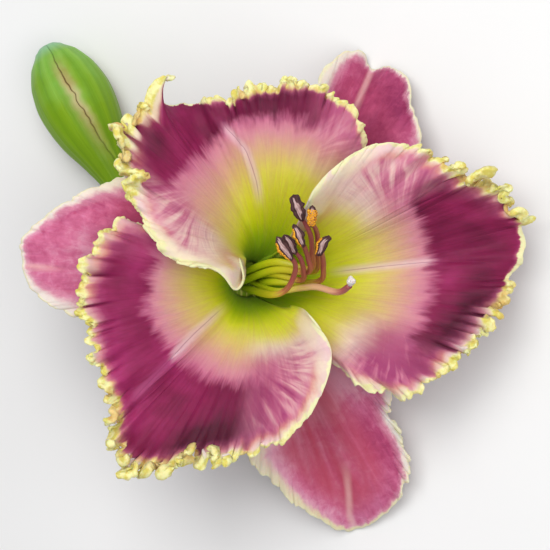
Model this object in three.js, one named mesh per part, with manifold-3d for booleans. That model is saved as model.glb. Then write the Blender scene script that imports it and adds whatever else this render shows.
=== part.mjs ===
// A cut daylily: one open bloom and one bud on a short length of scape, lying on a surface.
// Millimetres, +Z up, origin on the surface under the middle of the whole.
//
// Every piece is laid out in the bloom's own frame, where +Z comes straight out of the bloom's face,
// and the whole is then leaned over by leanDeg, so that two sepal tips, the scape and the bud's belly touch
// the surface.
import * as THREE from "three";
import { mergeVertices } from "three/addons/utils/BufferGeometryUtils.js";
import Module from "manifold-3d";

const wasm = await Module();
wasm.setup();

// ---- driving dimensions ----
const leanDeg = 20; // between the bloom's face and the surface
const restPoint = new THREE.Vector3(2.9, -2.35, 11.92); // the origin, in the bloom's frame
const seat = 0.3; // gap between pieces that touch

const scapeRadius = 3.4;
const scapeCut = [5, -62]; // the cut end, in plan
const scapeMiddle = [-12, -34];
const bloomNode = [-27, -12];
const budNode = [-37, 6];

const tubeTop = new THREE.Vector3(-9, -1.5, 20); // where the tepals part from the perianth tube
const bloomAxis = new THREE.Vector3(0.42, 0.02, 0.9).normalize();
const tubeRimRadius = 8.6;

const petalThickness = 0.8;
const sepalThickness = 0.8;
const petalRuffle = { waves: 17, height: 2.3, from: 0.74, power: 1.5, scallop: 0.7 };
const sepalRuffle = { waves: 6, height: 0.7, from: 0.66, power: 1.6, scallop: 0.3 };

const budLength = 59;
const budRadius = 12.6;
const budTip = [-70.5, 75];
const budFoot = [-42.3, 22.6];
const budFlatten = 0.93; // its height as a share of its width
const budSettle = 0.6; // how much of the belly is pressed flat where it lies

// ---- frames and helpers ----
const lean = THREE.MathUtils.degToRad(leanDeg);
// The surface's normal, in the bloom's frame.
const up = new THREE.Vector3(-Math.sin(lean), 0, Math.cos(lean));
const surfaceZ = (x) => restPoint.z + Math.tan(lean) * (x - restPoint.x);
const clamp = THREE.MathUtils.clamp;
const smooth = (x) => x * x * (3 - 2 * x);
const radians = THREE.MathUtils.degToRad;

// A point at height h above the surface.
function above([x, y], h) {
  return new THREE.Vector3(x, y, surfaceZ(x)).addScaledVector(up, h);
}

// A closed mesh from a grid of points [rows][columns] on its outside and one on its inside, with a rim
// round the edge.
function sheetSolid(outer, inner) {
  const rows = outer.length;
  const cols = outer[0].length;
  const positions = [...outer.flat(), ...inner.flat()].flatMap((p) => [p.x, p.y, p.z]);
  const faces = [];
  const at = (side, i, j) => side * rows * cols + i * cols + j;
  for (let i = 0; i < rows - 1; i++)
    for (let j = 0; j < cols - 1; j++) {
      faces.push(at(0, i, j), at(0, i + 1, j), at(0, i + 1, j + 1));
      faces.push(at(0, i, j), at(0, i + 1, j + 1), at(0, i, j + 1));
      faces.push(at(1, i, j), at(1, i + 1, j + 1), at(1, i + 1, j));
      faces.push(at(1, i, j), at(1, i, j + 1), at(1, i + 1, j + 1));
    }
  const edge = [];
  for (let i = 0; i < rows; i++) edge.push([i, 0]);
  for (let j = 1; j < cols; j++) edge.push([rows - 1, j]);
  for (let i = rows - 2; i >= 0; i--) edge.push([i, cols - 1]);
  for (let j = cols - 2; j > 0; j--) edge.push([0, j]);
  edge.forEach(([i, j], k) => {
    const [m, n] = edge[(k + 1) % edge.length];
    faces.push(at(0, i, j), at(1, i, j), at(1, m, n));
    faces.push(at(0, i, j), at(1, m, n), at(0, m, n));
  });
  return facingOut(positions, faces);
}

// A geometry from points and faces, turned round if its volume comes out negative.
function facingOut(positions, faces) {
  let volume = 0;
  const p = (i) => new THREE.Vector3(...positions.slice(3 * i, 3 * i + 3));
  for (let k = 0; k < faces.length; k += 3)
    volume += p(faces[k]).dot(p(faces[k + 1]).cross(p(faces[k + 2])));
  if (volume < 0)
    for (let k = 0; k < faces.length; k += 3) [faces[k + 1], faces[k + 2]] = [faces[k + 2], faces[k + 1]];
  const geometry = new THREE.BufferGeometry();
  geometry.setAttribute("position", new THREE.Float32BufferAttribute(positions, 3));
  geometry.setIndex(faces);
  return geometry;
}

// A closed round bar along a smooth line, whose radius is a function of its share of the length.
// With level given, a flat of the section faces away from that direction.
function bar(points, radius, { segments = 12, sides = 8, level = null, flatten = 1 } = {}) {
  const line = new THREE.CatmullRomCurve3(points, false, "centripetal");
  const frames = line.computeFrenetFrames(segments, false);
  const positions = [];
  for (let i = 0; i <= segments; i++) {
    const u = i / segments;
    const centre = line.getPointAt(u);
    const along = frames.tangents[i];
    const rise = level
      ? level.clone().addScaledVector(along, -level.dot(along)).normalize()
      : frames.normals[i];
    const side = rise.clone().cross(along);
    for (let k = 0; k < sides; k++) {
      const a = (2 * Math.PI * (k + 0.5)) / sides;
      const q = centre
        .clone()
        .addScaledVector(rise, -Math.cos(a) * radius(u) * flatten)
        .addScaledVector(side, Math.sin(a) * radius(u));
      positions.push(q.x, q.y, q.z);
    }
  }
  const faces = [];
  for (let i = 0; i < segments; i++)
    for (let k = 0; k < sides; k++) {
      const a = i * sides + k;
      const b = i * sides + ((k + 1) % sides);
      faces.push(a, b, b + sides, a, b + sides, a + sides);
    }
  for (let k = 1; k < sides - 1; k++) {
    const last = segments * sides;
    faces.push(0, k + 1, k, last, last + k, last + k + 1);
  }
  return facingOut(positions, faces);
}

// The union of several closed geometries.
function fused(geometries) {
  const solids = geometries.map((geometry) => {
    const bare = mergeVertices(new THREE.BufferGeometry()
      .setAttribute("position", geometry.getAttribute("position"))
      .setIndex(geometry.getIndex()), 1e-4);
    return new wasm.Manifold(new wasm.Mesh({
      numProp: 3,
      vertProperties: bare.attributes.position.array,
      triVerts: new Uint32Array(bare.index.array),
    }));
  });
  const whole = solids.reduce((a, b) => a.add(b)).getMesh();
  const geometry = new THREE.BufferGeometry();
  geometry.setAttribute("position", new THREE.BufferAttribute(whole.vertProperties, 3));
  geometry.setIndex([...whole.triVerts]);
  return geometry;
}

// A smooth function through [place, value] pairs.
function profile(pairs) {
  const line = new THREE.SplineCurve(pairs.map(([x, y]) => new THREE.Vector2(x, y)));
  return (u) => {
    let k = 0;
    while (k < pairs.length - 2 && u > pairs[k + 1][0]) k++;
    const share = clamp((u - pairs[k][0]) / (pairs[k + 1][0] - pairs[k][0]), 0, 1);
    return line.getPoint((k + share) / (pairs.length - 1)).y;
  };
}

// ---- colours ----
const paint = (color, roughness = 0.55) => new THREE.MeshStandardMaterial({ color, roughness, metalness: 0 });
const petalPaint = paint(0xb04a78);
const sepalPaint = paint(0xb8637f);
const stemPaint = paint(0x6f9434);
const tubePaint = paint(0xa9b53c);
const budPaint = paint(0x7fa62c);
const budSeamPaint = paint(0xa08060);
const filamentPaint = paint(0x9c5a4c);
const antherPaint = paint(0x4a2c30, 0.8);
const stylePaint = paint(0xcdaa70);
const stigmaPaint = paint(0xe8e2d6, 0.8);

const bloom = new THREE.Group();

function place(name, geometry, material) {
  geometry.computeVertexNormals();
  const mesh = new THREE.Mesh(geometry, material);
  mesh.name = name;
  bloom.add(mesh);
}

// ---- tepals ----
// A tepal is a fan of lines from an arc on the tube's rim out to its margin. Each line is a cubic curve:
// it rises along the bloom's axis, spreads as the throat widens, arches over and ends on the margin.
// A margin station is [x, y, z, reach, arch]: reach says how far out the arch's handle lies, as a share of
// the way from the bloom's centre to the margin, and arch how far it stands above the margin.
const across = new THREE.Vector3(0, 1, 0).cross(bloomAxis).normalize();
const upright = bloomAxis.clone().cross(across);

function tepalPoint(tepal, t, w) {
  const n = tepal.margin.length - 1;
  const k = Math.min(Math.floor(t * n), n - 1);
  const f = t * n - k;
  const station = (i, c) => tepal.margin[clamp(i, 0, n)][c];
  const blend = (c) => {
    const [a, b, d, e] = [station(k - 1, c), station(k, c), station(k + 1, c), station(k + 2, c)];
    return b + 0.5 * f * (d - a + f * (2 * a - 5 * b + 4 * d - e + f * (3 * (b - d) + e - a)));
  };
  const end = new THREE.Vector3(blend(0), blend(1), blend(2));
  const reach = blend(3);
  const angle = radians(tepal.facing + tepal.spread * (2 * t - 1));
  const out = across.clone().multiplyScalar(Math.cos(angle)).addScaledVector(upright, Math.sin(angle));
  const rim = tepal.rim[0] + (tepal.rim[1] - tepal.rim[0]) * t;
  const throat = tepal.throat[0] + (tepal.throat[1] - tepal.throat[0]) * t;
  const start = tubeTop.clone().addScaledVector(bloomAxis, seat).addScaledVector(out, rim);
  const rise = tubeTop.clone().addScaledVector(bloomAxis, tepal.rise).addScaledVector(out, throat);
  const arch = new THREE.Vector3(end.x * reach, end.y * reach, end.z + blend(4));
  const v = 1 - w;
  return start.multiplyScalar(v * v * v)
    .addScaledVector(rise, 3 * v * v * w)
    .addScaledVector(arch, 3 * v * w * w)
    .addScaledVector(end, w * w * w);
}

function tepalNormal(tepal, t, w) {
  const d = 0.004;
  const alongT = tepalPoint(tepal, Math.min(t + d, 1), w).sub(tepalPoint(tepal, Math.max(t - d, 0), w));
  const alongW = tepalPoint(tepal, t, Math.min(w + d, 1)).sub(tepalPoint(tepal, t, Math.max(w - d, 0)));
  return alongT.cross(alongW).normalize().negate();
}

// How far the crimped edge stands off the smooth tepal, and how far it is drawn out or in.
function ruffle(tepal, t, w) {
  const { waves, height, from, power, scallop } = tepal.ruffle;
  const phase = 2 * Math.PI * (waves * t + 0.45 * Math.sin(2 * Math.PI * (2.3 * t + tepal.seed)));
  const uneven = 0.75 + 0.25 * Math.sin(2 * Math.PI * (3.7 * t + 2 * tepal.seed));
  const fromStart = smooth(clamp((t - tepal.calm[0]) / 0.12, 0, 1));
  const fromEnd = smooth(clamp((1 - tepal.calm[1] - t) / 0.12, 0, 1));
  const ends = fromStart * fromEnd;
  const near = Math.pow(clamp((w - from) / (1 - from), 0, 1), power);
  return [height * uneven * ends * near * Math.sin(phase), scallop * ends * near * Math.cos(2 * phase)];
}

function tepalGrids(tepal, rows, cols, thickness) {
  const top = [];
  const under = [];
  for (let i = 0; i <= rows; i++) {
    const t = i / rows;
    top.push([]);
    under.push([]);
    for (let j = 0; j <= cols; j++) {
      const w = 1 - Math.pow(1 - j / cols, 1.35);
      const normal = tepalNormal(tepal, t, w);
      const [stand, draw] = ruffle(tepal, t, w);
      const middle = tepalPoint(tepal, t, w).addScaledVector(normal, stand);
      const outward = tepalPoint(tepal, t, w).sub(tepalPoint(tepal, t, Math.max(w - 0.02, 0))).normalize();
      if (w > 0.05) middle.addScaledVector(outward, draw);
      top[i].push(middle.clone().addScaledVector(normal, thickness / 2));
      under[i].push(middle.clone().addScaledVector(normal, -thickness / 2));
    }
  }
  return [top, under];
}

const petal = { rim: [6.4, 5.2], throat: [12, 10.2], rise: 17, ruffle: petalRuffle };
const sepal = { spread: 38, rim: [7.8, 7.8], throat: [14.5, 14.5], rise: 13, ruffle: sepalRuffle };

const petals = {
  petal_upper: {
    ...petal, facing: 92, spread: 47, seed: 0.1, calm: [0.05, 0.2],
    margin: [
      [17, 21, 43, 0.6, 3], [27, 37, 51, 0.62, 5], [21, 51, 56, 0.65, 6], [5, 57, 56, 0.68, 7],
      [-10, 53.6, 53, 0.76, 9], [-26, 50, 46, 0.9, 13], [-37, 51, 53, 0.77, 9], [-45, 43, 57, 0.68, 6],
      [-45, 31, 59, 0.66, 5], [-40, 18, 62, 0.64, 3], [-32, 6.5, 64, 0.55, 1], [-21.5, 2, 63, 0.5, -2],
      [-12, -4.2, 60, 0.8, -6], [-9.4, -0.8, 56, 0.95, -7], [-10.2, 5, 50, 1, -6],
    ],
  },
  petal_right: {
    ...petal, facing: 2, spread: 60, seed: 0.45, calm: [0.02, 0.2],
    margin: [
      [13, -22.5, 44, 0.6, 2], [21, -29, 51, 0.62, 5], [37, -36, 56, 0.64, 6], [51.5, -27, 57, 0.68, 6],
      [63, -15, 56, 0.7, 7], [69.5, -3, 54, 0.72, 7], [74, 9.5, 52, 0.74, 8], [72, 19, 55, 0.72, 7],
      [65.5, 26, 58, 0.7, 6], [55, 30, 61, 0.66, 5], [42, 37, 64, 0.64, 4], [29, 38, 66, 0.62, 2],
      [17.5, 31.5, 66, 0.6, 0], [10.5, 23, 63, 0.55, -3], [12.5, 16.5, 56, 0.7, -8],
    ],
  },
  petal_lower: {
    ...petal, facing: 232, spread: 62, seed: 0.8, calm: [0.02, 0.16],
    margin: [
      [-33, 9, 46, 0.6, 3], [-45, 16.5, 51, 0.64, 5], [-54, 7.5, 55, 0.66, 6], [-57.5, -5, 56, 0.68, 6],
      [-54.5, -18, 55, 0.7, 7], [-52, -29, 54, 0.7, 7], [-48, -39, 52, 0.72, 8], [-48.3, -50.5, 50, 0.72, 9],
      [-40, -58, 51, 0.72, 8], [-27, -56, 54, 0.7, 7], [-12, -54, 57, 0.68, 6], [3, -48, 60, 0.66, 5],
      [12.5, -37, 63, 0.64, 2], [16.5, -22.5, 63, 0.6, -1], [9.5, -11, 56, 0.7, -8],
    ],
  },
};

const sepals = {
  sepal_left: {
    ...sepal, facing: 174, seed: 0.3, calm: [0.05, 0.05],
    margin: [
      [-30, 24, 39, 0.6, 6], [-41, 30, 43, 0.62, 7], [-54, 26.5, 44, 0.66, 8], [-66, 20, 43, 0.68, 9],
      [-75.5, 12, 40, 0.7, 10], [-76.5, 4, 38, 0.7, 11], [-73.5, -4.5, 38, 0.7, 10], [-64, -11, 41, 0.68, 9],
      [-54, -11.5, 40.5, 0.64, 8], [-38, -5, 37, 0.6, 6],
    ],
  },
  sepal_top: {
    ...sepal, facing: 60, seed: 0.6, calm: [0.05, 0.05],
    margin: [
      [39, 25.5, 40, 0.6, 6], [44, 41, 40, 0.62, 8], [41.5, 51.5, 37, 0.66, 10], [41, 59, 33, 0.7, 12],
      [36, 64, 28, 0.74, 14], [30, 64, 22.35, 0.78, 16], [23, 69, 27, 0.74, 14], [17, 64.5, 33, 0.7, 12],
      [13, 55, 37, 0.66, 10], [10.5, 38, 38, 0.6, 8],
    ],
  },
  sepal_bottom: {
    ...sepal, facing: 286, spread: 42, seed: 0.9, calm: [0.05, 0.05],
    margin: [
      [7.5, -33, 41, 0.6, 6], [-7, -53, 39, 0.66, 9], [0, -63.5, 35, 0.7, 11], [10, -73, 29, 0.74, 13],
      [22.5, -79.5, 20.2, 0.76, 15], [34, -73.5, 27, 0.74, 14], [40, -62.5, 33, 0.7, 12],
      [38.5, -50, 37, 0.66, 10], [34.5, -42.5, 39, 0.62, 8], [36, -33, 39, 0.6, 6],
    ],
  },
};

for (const [name, shape] of Object.entries(petals))
  place(name, sheetSolid(...tepalGrids(shape, 72, 8, petalThickness)), petalPaint);
for (const [name, shape] of Object.entries(sepals))
  place(name, sheetSolid(...tepalGrids(shape, 30, 7, sepalThickness)), sepalPaint);

// ---- perianth tube, with the ovary swelling at its foot ----
const pedicelWay = new THREE.Vector3(0.25, 0.35, 0.9).normalize();
const tubeFoot = above(bloomNode, 9).addScaledVector(pedicelWay, 1);
const tubeRadius = profile([
  [0, 2.6], [0.22, 3.7], [0.45, 3.3], [0.75, 5.2], [0.92, 7.9], [1, tubeRimRadius],
]);
place("perianth_tube", bar(
  [
    tubeFoot,
    tubeFoot.clone().addScaledVector(pedicelWay, 5),
    tubeTop.clone().addScaledVector(bloomAxis, -7),
    tubeTop,
  ],
  tubeRadius, { segments: 12, sides: 12 }), tubePaint);

// ---- scape with its two nodes and pedicels ----
const scapeHeight = scapeRadius * Math.cos(Math.PI / 10);
const scapeLine = [scapeCut, scapeMiddle, bloomNode, budNode].map((p) => above(p, scapeHeight));
const budHeight = budRadius * budFlatten - budSettle;
const budAxisFoot = above(budFoot, budHeight);
const budAxisTip = above(budTip, budHeight);
const budAxis = budAxisTip.clone().sub(budAxisFoot).normalize();
const scapeBar = bar(scapeLine, () => scapeRadius, { segments: 10, sides: 10, level: up });
const bloomPedicel = bar(
  [
    above(bloomNode, 3), tubeFoot.clone().addScaledVector(pedicelWay, -3),
    tubeFoot.clone().addScaledVector(pedicelWay, -seat),
  ],
  () => 2.4, { segments: 4, sides: 8 });
const budPedicel = bar(
  [
    above(budNode, scapeHeight),
    budAxisFoot.clone().addScaledVector(budAxis, -4),
    budAxisFoot.clone().addScaledVector(budAxis, -seat),
  ],
  profile([[0, 3.2], [0.5, 2.7], [1, 3.4]]), { segments: 6, sides: 10, level: up });
place("scape", fused([scapeBar, bloomPedicel, budPedicel]), stemPaint);

// ---- stamens and pistil ----
const filamentRadius = profile([[0, 0.85], [0.7, 0.75], [1, 0.5]]);
// Each line starts on a ring on the tube's top, runs along the throat's lower side and turns up to its
// anther.
const filaments = [
  {
    ring: 140, anther: [6.6, 19.4, 67], lie: [-0.37, 0.9, 0.2],
    way: [[0, 3.9, 40], [10.5, 1.8, 44.5], [11, 6.8, 51], [10.3, 12, 58.5]],
  },
  {
    ring: 80, anther: [10.8, 17, 66.5], lie: [0.1, 0.95, 0.3],
    way: [[0, 2.7, 37.5], [11.75, 1.2, 41.5], [12.7, 6.9, 48.5], [12.4, 12.1, 56.5]],
  },
  {
    ring: 200, anther: [7, 11.4, 68], lie: [-0.2, 0.95, 0.2],
    way: [[0, 1.5, 40], [9.85, 0.9, 48], [9.7, 5, 55.5], [8.5, 8.2, 62]],
  },
  {
    ring: 255, anther: [2.6, 7.6, 66], lie: [-0.6, 0.75, 0.2],
    way: [[-1.2, -5.9, 43], [3.3, -4.4, 48.5], [5.6, -0.3, 54], [5.9, 3.2, 59]],
  },
  {
    ring: -20, anther: [13.6, 8.6, 66], lie: [0.3, 0.9, 0.3],
    way: [[0, -2.1, 37], [12.9, -2, 43.2], [14.4, 2.4, 49.5], [13.8, 6.5, 57]],
  },
  {
    ring: 30, anther: [4.6, 9, 62], lie: [-0.3, 0.85, 0.35],
    way: [[0, 0.3, 37.8], [7.8, -1.5, 44], [8.4, 1.4, 51.5], [7.4, 5, 57.5]],
  },
];
const ringRadius = 2.7;
const antherLength = 8.4;
const antherRadius = 1.75;
const antherBehind = new THREE.Vector3(0.1, -0.25, -0.96); // from an anther to the filament that carries it

filaments.forEach(({ ring, way, anther, lie }, k) => {
  const a = radians(ring);
  const foot = tubeTop.clone().addScaledVector(bloomAxis, seat)
    .addScaledVector(across, ringRadius * Math.cos(a)).addScaledVector(upright, ringRadius * Math.sin(a));
  const along = new THREE.Vector3(...lie).normalize();
  const middle = new THREE.Vector3(...anther);
  const end = middle.clone().addScaledVector(along, -1.5);
  end.addScaledVector(antherBehind, antherRadius + 2 * seat);
  const line = [foot, ...way.map((p) => new THREE.Vector3(...p)), end];
  place(`filament_${k + 1}`, bar(line, filamentRadius, { segments: 12, sides: 5 }), filamentPaint);
  const pod = bar(
    [-0.5, 0, 0.5].map((d) => middle.clone().addScaledVector(along, d * antherLength)),
    profile([[0, 0.5], [0.15, 1.4], [0.5, antherRadius], [0.85, 1.4], [1, 0.5]]), { segments: 6, sides: 6 });
  place(`anther_${k + 1}`, pod, antherPaint);
});

const pistilWay = [[0, -4.8, 38.5], [7.5, -4, 44], [12.3, -3.6, 49], [18.6, -5.1, 55], [21.9, -3.2, 60]];
const pistilLine = pistilWay.map((p) => new THREE.Vector3(...p));
pistilLine.unshift(tubeTop.clone().addScaledVector(bloomAxis, seat));
const styleRadius = profile([[0, 0.8], [0.7, 1], [1, 0.8]]);
place("style", bar(pistilLine, styleRadius, { segments: 14, sides: 6 }), stylePaint);
place("stigma", bar(
  [[22, -2.7, 60.6], [22.2, -1.9, 61.9], [22.1, -1.1, 63.2]].map((p) => new THREE.Vector3(...p)),
  profile([[0, 0.9], [0.5, 1.5], [1, 1.1]]), { segments: 4, sides: 8 }), stigmaPaint);

// ---- bud: three sepals wrapped round the furled petals ----
const budSide = up.clone().cross(budAxis).normalize();
const budOut = profile([
  [0, 3.8], [0.1, 4.6], [0.25, 7], [0.45, 11], [0.65, budRadius],
  [0.8, 11.2], [0.9, 8.4], [0.97, 4.8], [1, 2.4],
]);
const budWall = 1.3;
const budSeams = [68, 188, 308]; // degrees round the bud, 90 being up

function budPoint(s, degrees, inset) {
  const a = radians(degrees);
  const r = Math.max(budOut(s) - inset, 0.4 * budOut(s));
  const p = budAxisFoot.clone().addScaledVector(budAxis, s * budLength)
    .addScaledVector(budSide, -r * Math.cos(a)).addScaledVector(up, r * budFlatten * Math.sin(a));
  const height = p.clone().sub(restPoint).dot(up);
  return p.addScaledVector(up, Math.max(-height, 0));
}

function budSepal(seam) {
  const outer = [];
  const inner = [];
  const rows = 12;
  const cols = 6;
  for (let i = 0; i <= rows; i++) {
    outer.push([]);
    inner.push([]);
    for (let j = 0; j <= cols; j++) {
      const share = j / cols;
      const s = i / rows;
      const fold = 0.5 * Math.pow(Math.abs(2 * share - 1), 4); // the edges turn in to the seam
      const degrees = seam + 2.5 + 115 * share;
      outer[i].push(budPoint(s, degrees, fold));
      inner[i].push(budPoint(s, degrees, budWall));
    }
  }
  return sheetSolid(outer, inner);
}

budSeams.forEach((seam, k) => place(`bud_sepal_${k + 1}`, budSepal(seam), budPaint));
const budCore = profile([
  [0, 1.6], [0.1, 2.4], [0.25, 5], [0.45, 9.1], [0.65, 10.7], [0.8, 9.3], [0.9, 6.3], [0.97, 2.6], [1, 0.8],
]);
place("bud_petals", bar(
  [0.01, 0.5, 0.985].map((s) => budAxisFoot.clone().addScaledVector(budAxis, s * budLength)),
  budCore, { segments: 12, sides: 12, level: up, flatten: budFlatten }), budSeamPaint);

// ---- bracts: a small leaf clasping the foot of each pedicel ----
function bract(foot, direction, face, length, width) {
  const side = face.clone().cross(direction).normalize();
  const outer = [];
  const inner = [];
  const rows = 7;
  const cols = 4;
  for (let i = 0; i <= rows; i++) {
    outer.push([]);
    inner.push([]);
    for (let j = 0; j <= cols; j++) {
      const s = i / rows;
      const c = (2 * j) / cols - 1;
      const half = (width / 2) * Math.pow(1 - s, 0.7) + 0.3;
      const cup = 0.9 * (1 - c * c) * (1 - s) + 2 * s * s;
      const p = foot.clone().addScaledVector(direction, s * length)
        .addScaledVector(side, c * half).addScaledVector(face, cup);
      outer[i].push(p.clone().addScaledVector(face, 0.35));
      inner[i].push(p.clone().addScaledVector(face, -0.35));
    }
  }
  return sheetSolid(outer, inner);
}

const growth = above(budNode, 0).sub(above(bloomNode, 0)).normalize();
const aside = up.clone().cross(growth).normalize();
const bractFoot = (node, turn, out) => above(node, scapeRadius).addScaledVector(aside, turn * (out + seat));
const bractWay = (turn, rise) => {
  const way = growth.clone().addScaledVector(aside, turn * 0.25).addScaledVector(up, rise);
  return way.normalize();
};
const bloomBractFoot = bractFoot(bloomNode, 1, scapeRadius + 0.4);
const budBractFoot = bractFoot(budNode, -1, scapeRadius - 0.35);
const otherSide = aside.clone().negate();
place("bract_bloom", bract(bloomBractFoot, bractWay(1, 0.35), aside, 20, 5), stemPaint);
place("bract_bud", bract(budBractFoot, bractWay(-1, 0.15), otherSide, 15, 4.5), stemPaint);

// ---- the leaned whole ----
bloom.position.copy(restPoint).negate();
const leaned = new THREE.Group();
leaned.add(bloom);
leaned.rotation.y = lean;
const daylily = new THREE.Group();
daylily.add(leaned);

export default daylily;
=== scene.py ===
"""A cut daylily: one open bloom and one closed bud on a short length of scape, lying on a pale surface.

Every piece is laid out in the bloom's own frame, in millimetres, where +Z comes straight out of the bloom's
face, and is then leaned over and put in metres. Shapes are grids of points worked out with numpy.
"""
import math

import bpy
import numpy as np
from mathutils import Euler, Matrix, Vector


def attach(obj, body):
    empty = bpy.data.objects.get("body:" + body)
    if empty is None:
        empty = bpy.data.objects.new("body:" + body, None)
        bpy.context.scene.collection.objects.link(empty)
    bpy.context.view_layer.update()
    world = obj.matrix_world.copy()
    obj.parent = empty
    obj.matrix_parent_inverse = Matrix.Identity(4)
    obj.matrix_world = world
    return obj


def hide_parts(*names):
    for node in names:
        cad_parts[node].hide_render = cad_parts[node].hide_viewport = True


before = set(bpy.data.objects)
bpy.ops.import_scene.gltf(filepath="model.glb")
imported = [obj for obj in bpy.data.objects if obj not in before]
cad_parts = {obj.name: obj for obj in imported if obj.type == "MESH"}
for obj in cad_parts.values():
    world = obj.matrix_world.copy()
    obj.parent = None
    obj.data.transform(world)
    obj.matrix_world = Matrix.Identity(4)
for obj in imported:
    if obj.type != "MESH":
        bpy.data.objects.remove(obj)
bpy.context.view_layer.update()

# ---- the bloom's frame ----
LEAN = math.radians(20)
REST_POINT = np.array([2.9, -2.35, 11.92])
UP = np.array([-math.sin(LEAN), 0, math.cos(LEAN)])
TO_PART = np.array([
    [math.cos(LEAN), 0, math.sin(LEAN)],
    [0, 1, 0],
    [-math.sin(LEAN), 0, math.cos(LEAN)],
])
TUBE_TOP = np.array([-9, -1.5, 20.0])
SEAT = 0.3  # how far a piece stands off the one that carries it
THROAT_MIDDLE = np.array([-3.8, -2.3])  # in plan


def unit(v):
    """A vector, or a grid of them, scaled to length one."""
    v = np.asarray(v, float)
    return v / np.maximum(np.linalg.norm(v, axis=-1, keepdims=True), 1e-9)


BLOOM_AXIS = unit([0.42, 0.02, 0.9])
ACROSS = unit(np.cross([0, 1, 0], BLOOM_AXIS))
UPRIGHT = np.cross(BLOOM_AXIS, ACROSS)


def to_part(points):
    """Millimetres in the bloom's frame become metres in the part's frame: moved, then leaned about Y."""
    return (np.asarray(points) - REST_POINT) @ TO_PART.T / 1000


def above(plan, height):
    """The point at a height over the surface, above a plan position in the bloom's frame."""
    x, y = plan
    z = REST_POINT[2] + math.tan(LEAN) * (x - REST_POINT[0])
    return np.array([x, y, z]) + UP * height


def smooth(x):
    """A soft step: 0 below 0, 1 above 1, with no corners."""
    x = np.clip(x, 0, 1)
    return x * x * (3 - 2 * x)


def wander(x, wavelength, seed):
    """Smooth noise between about -1 and 1: five sines of unlike wavelengths with drawn phases."""
    draw = np.random.default_rng(seed)
    total = np.zeros(np.shape(x))
    for share in (0.6, 0.85, 1.15, 1.6, 2.3):
        total = total + np.sin(2 * np.pi * (x / (wavelength * share) + draw.random()))
    return total / 2.5


def wander2(x, y, wavelength, seed):
    """Smooth noise over a plane: eight waves in drawn directions, of unlike wavelengths."""
    draw = np.random.default_rng(seed)
    total = np.zeros(np.broadcast(x, y).shape)
    for share in np.linspace(0.6, 1.8, 8):
        turn = 2 * np.pi * draw.random()
        along = (x * math.cos(turn) + y * math.sin(turn)) / (wavelength * share)
        total = total + np.sin(2 * np.pi * (along + draw.random()))
    return total / 3


def by_stations(x, stations):
    """A value read off [place, value, place, value...], straight between stations and held beyond them."""
    return np.interp(x, stations[0::2], stations[1::2])


def between(a, b, c, d, f):
    """A Catmull-Rom curve from b to c at a share f of the way, with a and d on either side of them."""
    return b + 0.5 * f * (c - a + f * (2 * a - 5 * b + 4 * c - d + f * (3 * (b - c) + d - a)))


def neighbours(values, k):
    """The values one before, at, one after and two after each place k, held at both ends."""
    return [values[np.clip(k + step, 0, len(values) - 1)] for step in (-1, 0, 1, 2)]


def through_stations(x, stations):
    """A value read off [place, value, place, value...] along a smooth curve through all of them."""
    places, values = np.array(stations[0::2], float), np.array(stations[1::2], float)
    k = np.clip(np.searchsorted(places, x, side="right") - 1, 0, len(places) - 2)
    f = np.clip((x - places[k]) / (places[k + 1] - places[k]), 0, 1)
    return between(*neighbours(values, k), f)


def by_soft_stations(x, stations):
    """A value read off [place, value, place, value...] and averaged over a short reach of places."""
    reach = np.linspace(-0.04, 0.04, 9)
    return np.mean([by_stations(np.clip(x + r, 0, 1), stations) for r in reach], axis=0)


def running_length(line):
    """The length of a line of points from its first one to each of them."""
    return np.concatenate([[0], np.cumsum(np.linalg.norm(np.diff(line, axis=0), axis=1))])


def grid_uv(across, along):
    """A map of a grid of points from two fields over it."""
    return np.stack(np.broadcast_arrays(across, along), -1)


def placed(name, data):
    """A new object in the scene, made of some data."""
    thing = bpy.data.objects.new(name, data)
    bpy.context.scene.collection.objects.link(thing)
    return thing


# ---- meshes ----
def add_piece(name, points, quads, marks, material, node):
    """A closed mesh of quads that carries fields of values. A triangle's last corner is given twice."""
    points = to_part(points)
    a, b, c, d = (points[quads[:, k]] for k in range(4))
    volume = np.sum(a * np.cross(b, c)) + np.sum(a * np.cross(c, d))
    if volume < 0:
        quads = quads[:, ::-1]
    corners = [list(dict.fromkeys(q)) for q in quads.tolist()]
    mesh = bpy.data.meshes.new(name)
    mesh.from_pydata(points.tolist(), [], corners)
    mesh.polygons.foreach_set("use_smooth", [True] * len(mesh.polygons))
    corner_points = np.zeros(len(mesh.loops), int)
    mesh.loops.foreach_get("vertex_index", corner_points)
    if "uv" in marks:
        layer = mesh.uv_layers.new(name="UVMap")
        layer.data.foreach_set("uv", marks["uv"][corner_points].ravel().astype(np.float32))
    for key, values in marks.items():
        if key != "uv":
            attribute = mesh.attributes.new(key, "FLOAT", "POINT")
            attribute.data.foreach_set("value", np.asarray(values, np.float32).ravel())
    mesh.materials.append(material)
    mesh.validate()
    piece = placed(name, mesh)
    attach(piece, "root")
    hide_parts(node)


def sheet_faces(rows, cols):
    """Quads of a two-sided grid: one side, the other side turned over, and a band round their border."""
    at = np.arange(rows * cols).reshape(rows, cols)
    top = np.stack([at[:-1, :-1], at[1:, :-1], at[1:, 1:], at[:-1, 1:]], -1).reshape(-1, 4)
    under = top[:, ::-1] + rows * cols
    edge = np.concatenate([at[:, 0], at[-1, 1:], at[-2::-1, -1], at[0, -2:0:-1]])
    following = np.roll(edge, -1)
    band = np.stack([edge, edge + rows * cols, following + rows * cols, following], -1)
    return np.concatenate([top, under, band])


def grid_normals(grid):
    """Unit normals of a grid of points, from its differences both ways, towards the bloom's face."""
    down = np.gradient(grid, axis=0)
    along = np.gradient(grid, axis=1)
    return -unit(np.cross(down, along))


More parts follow.
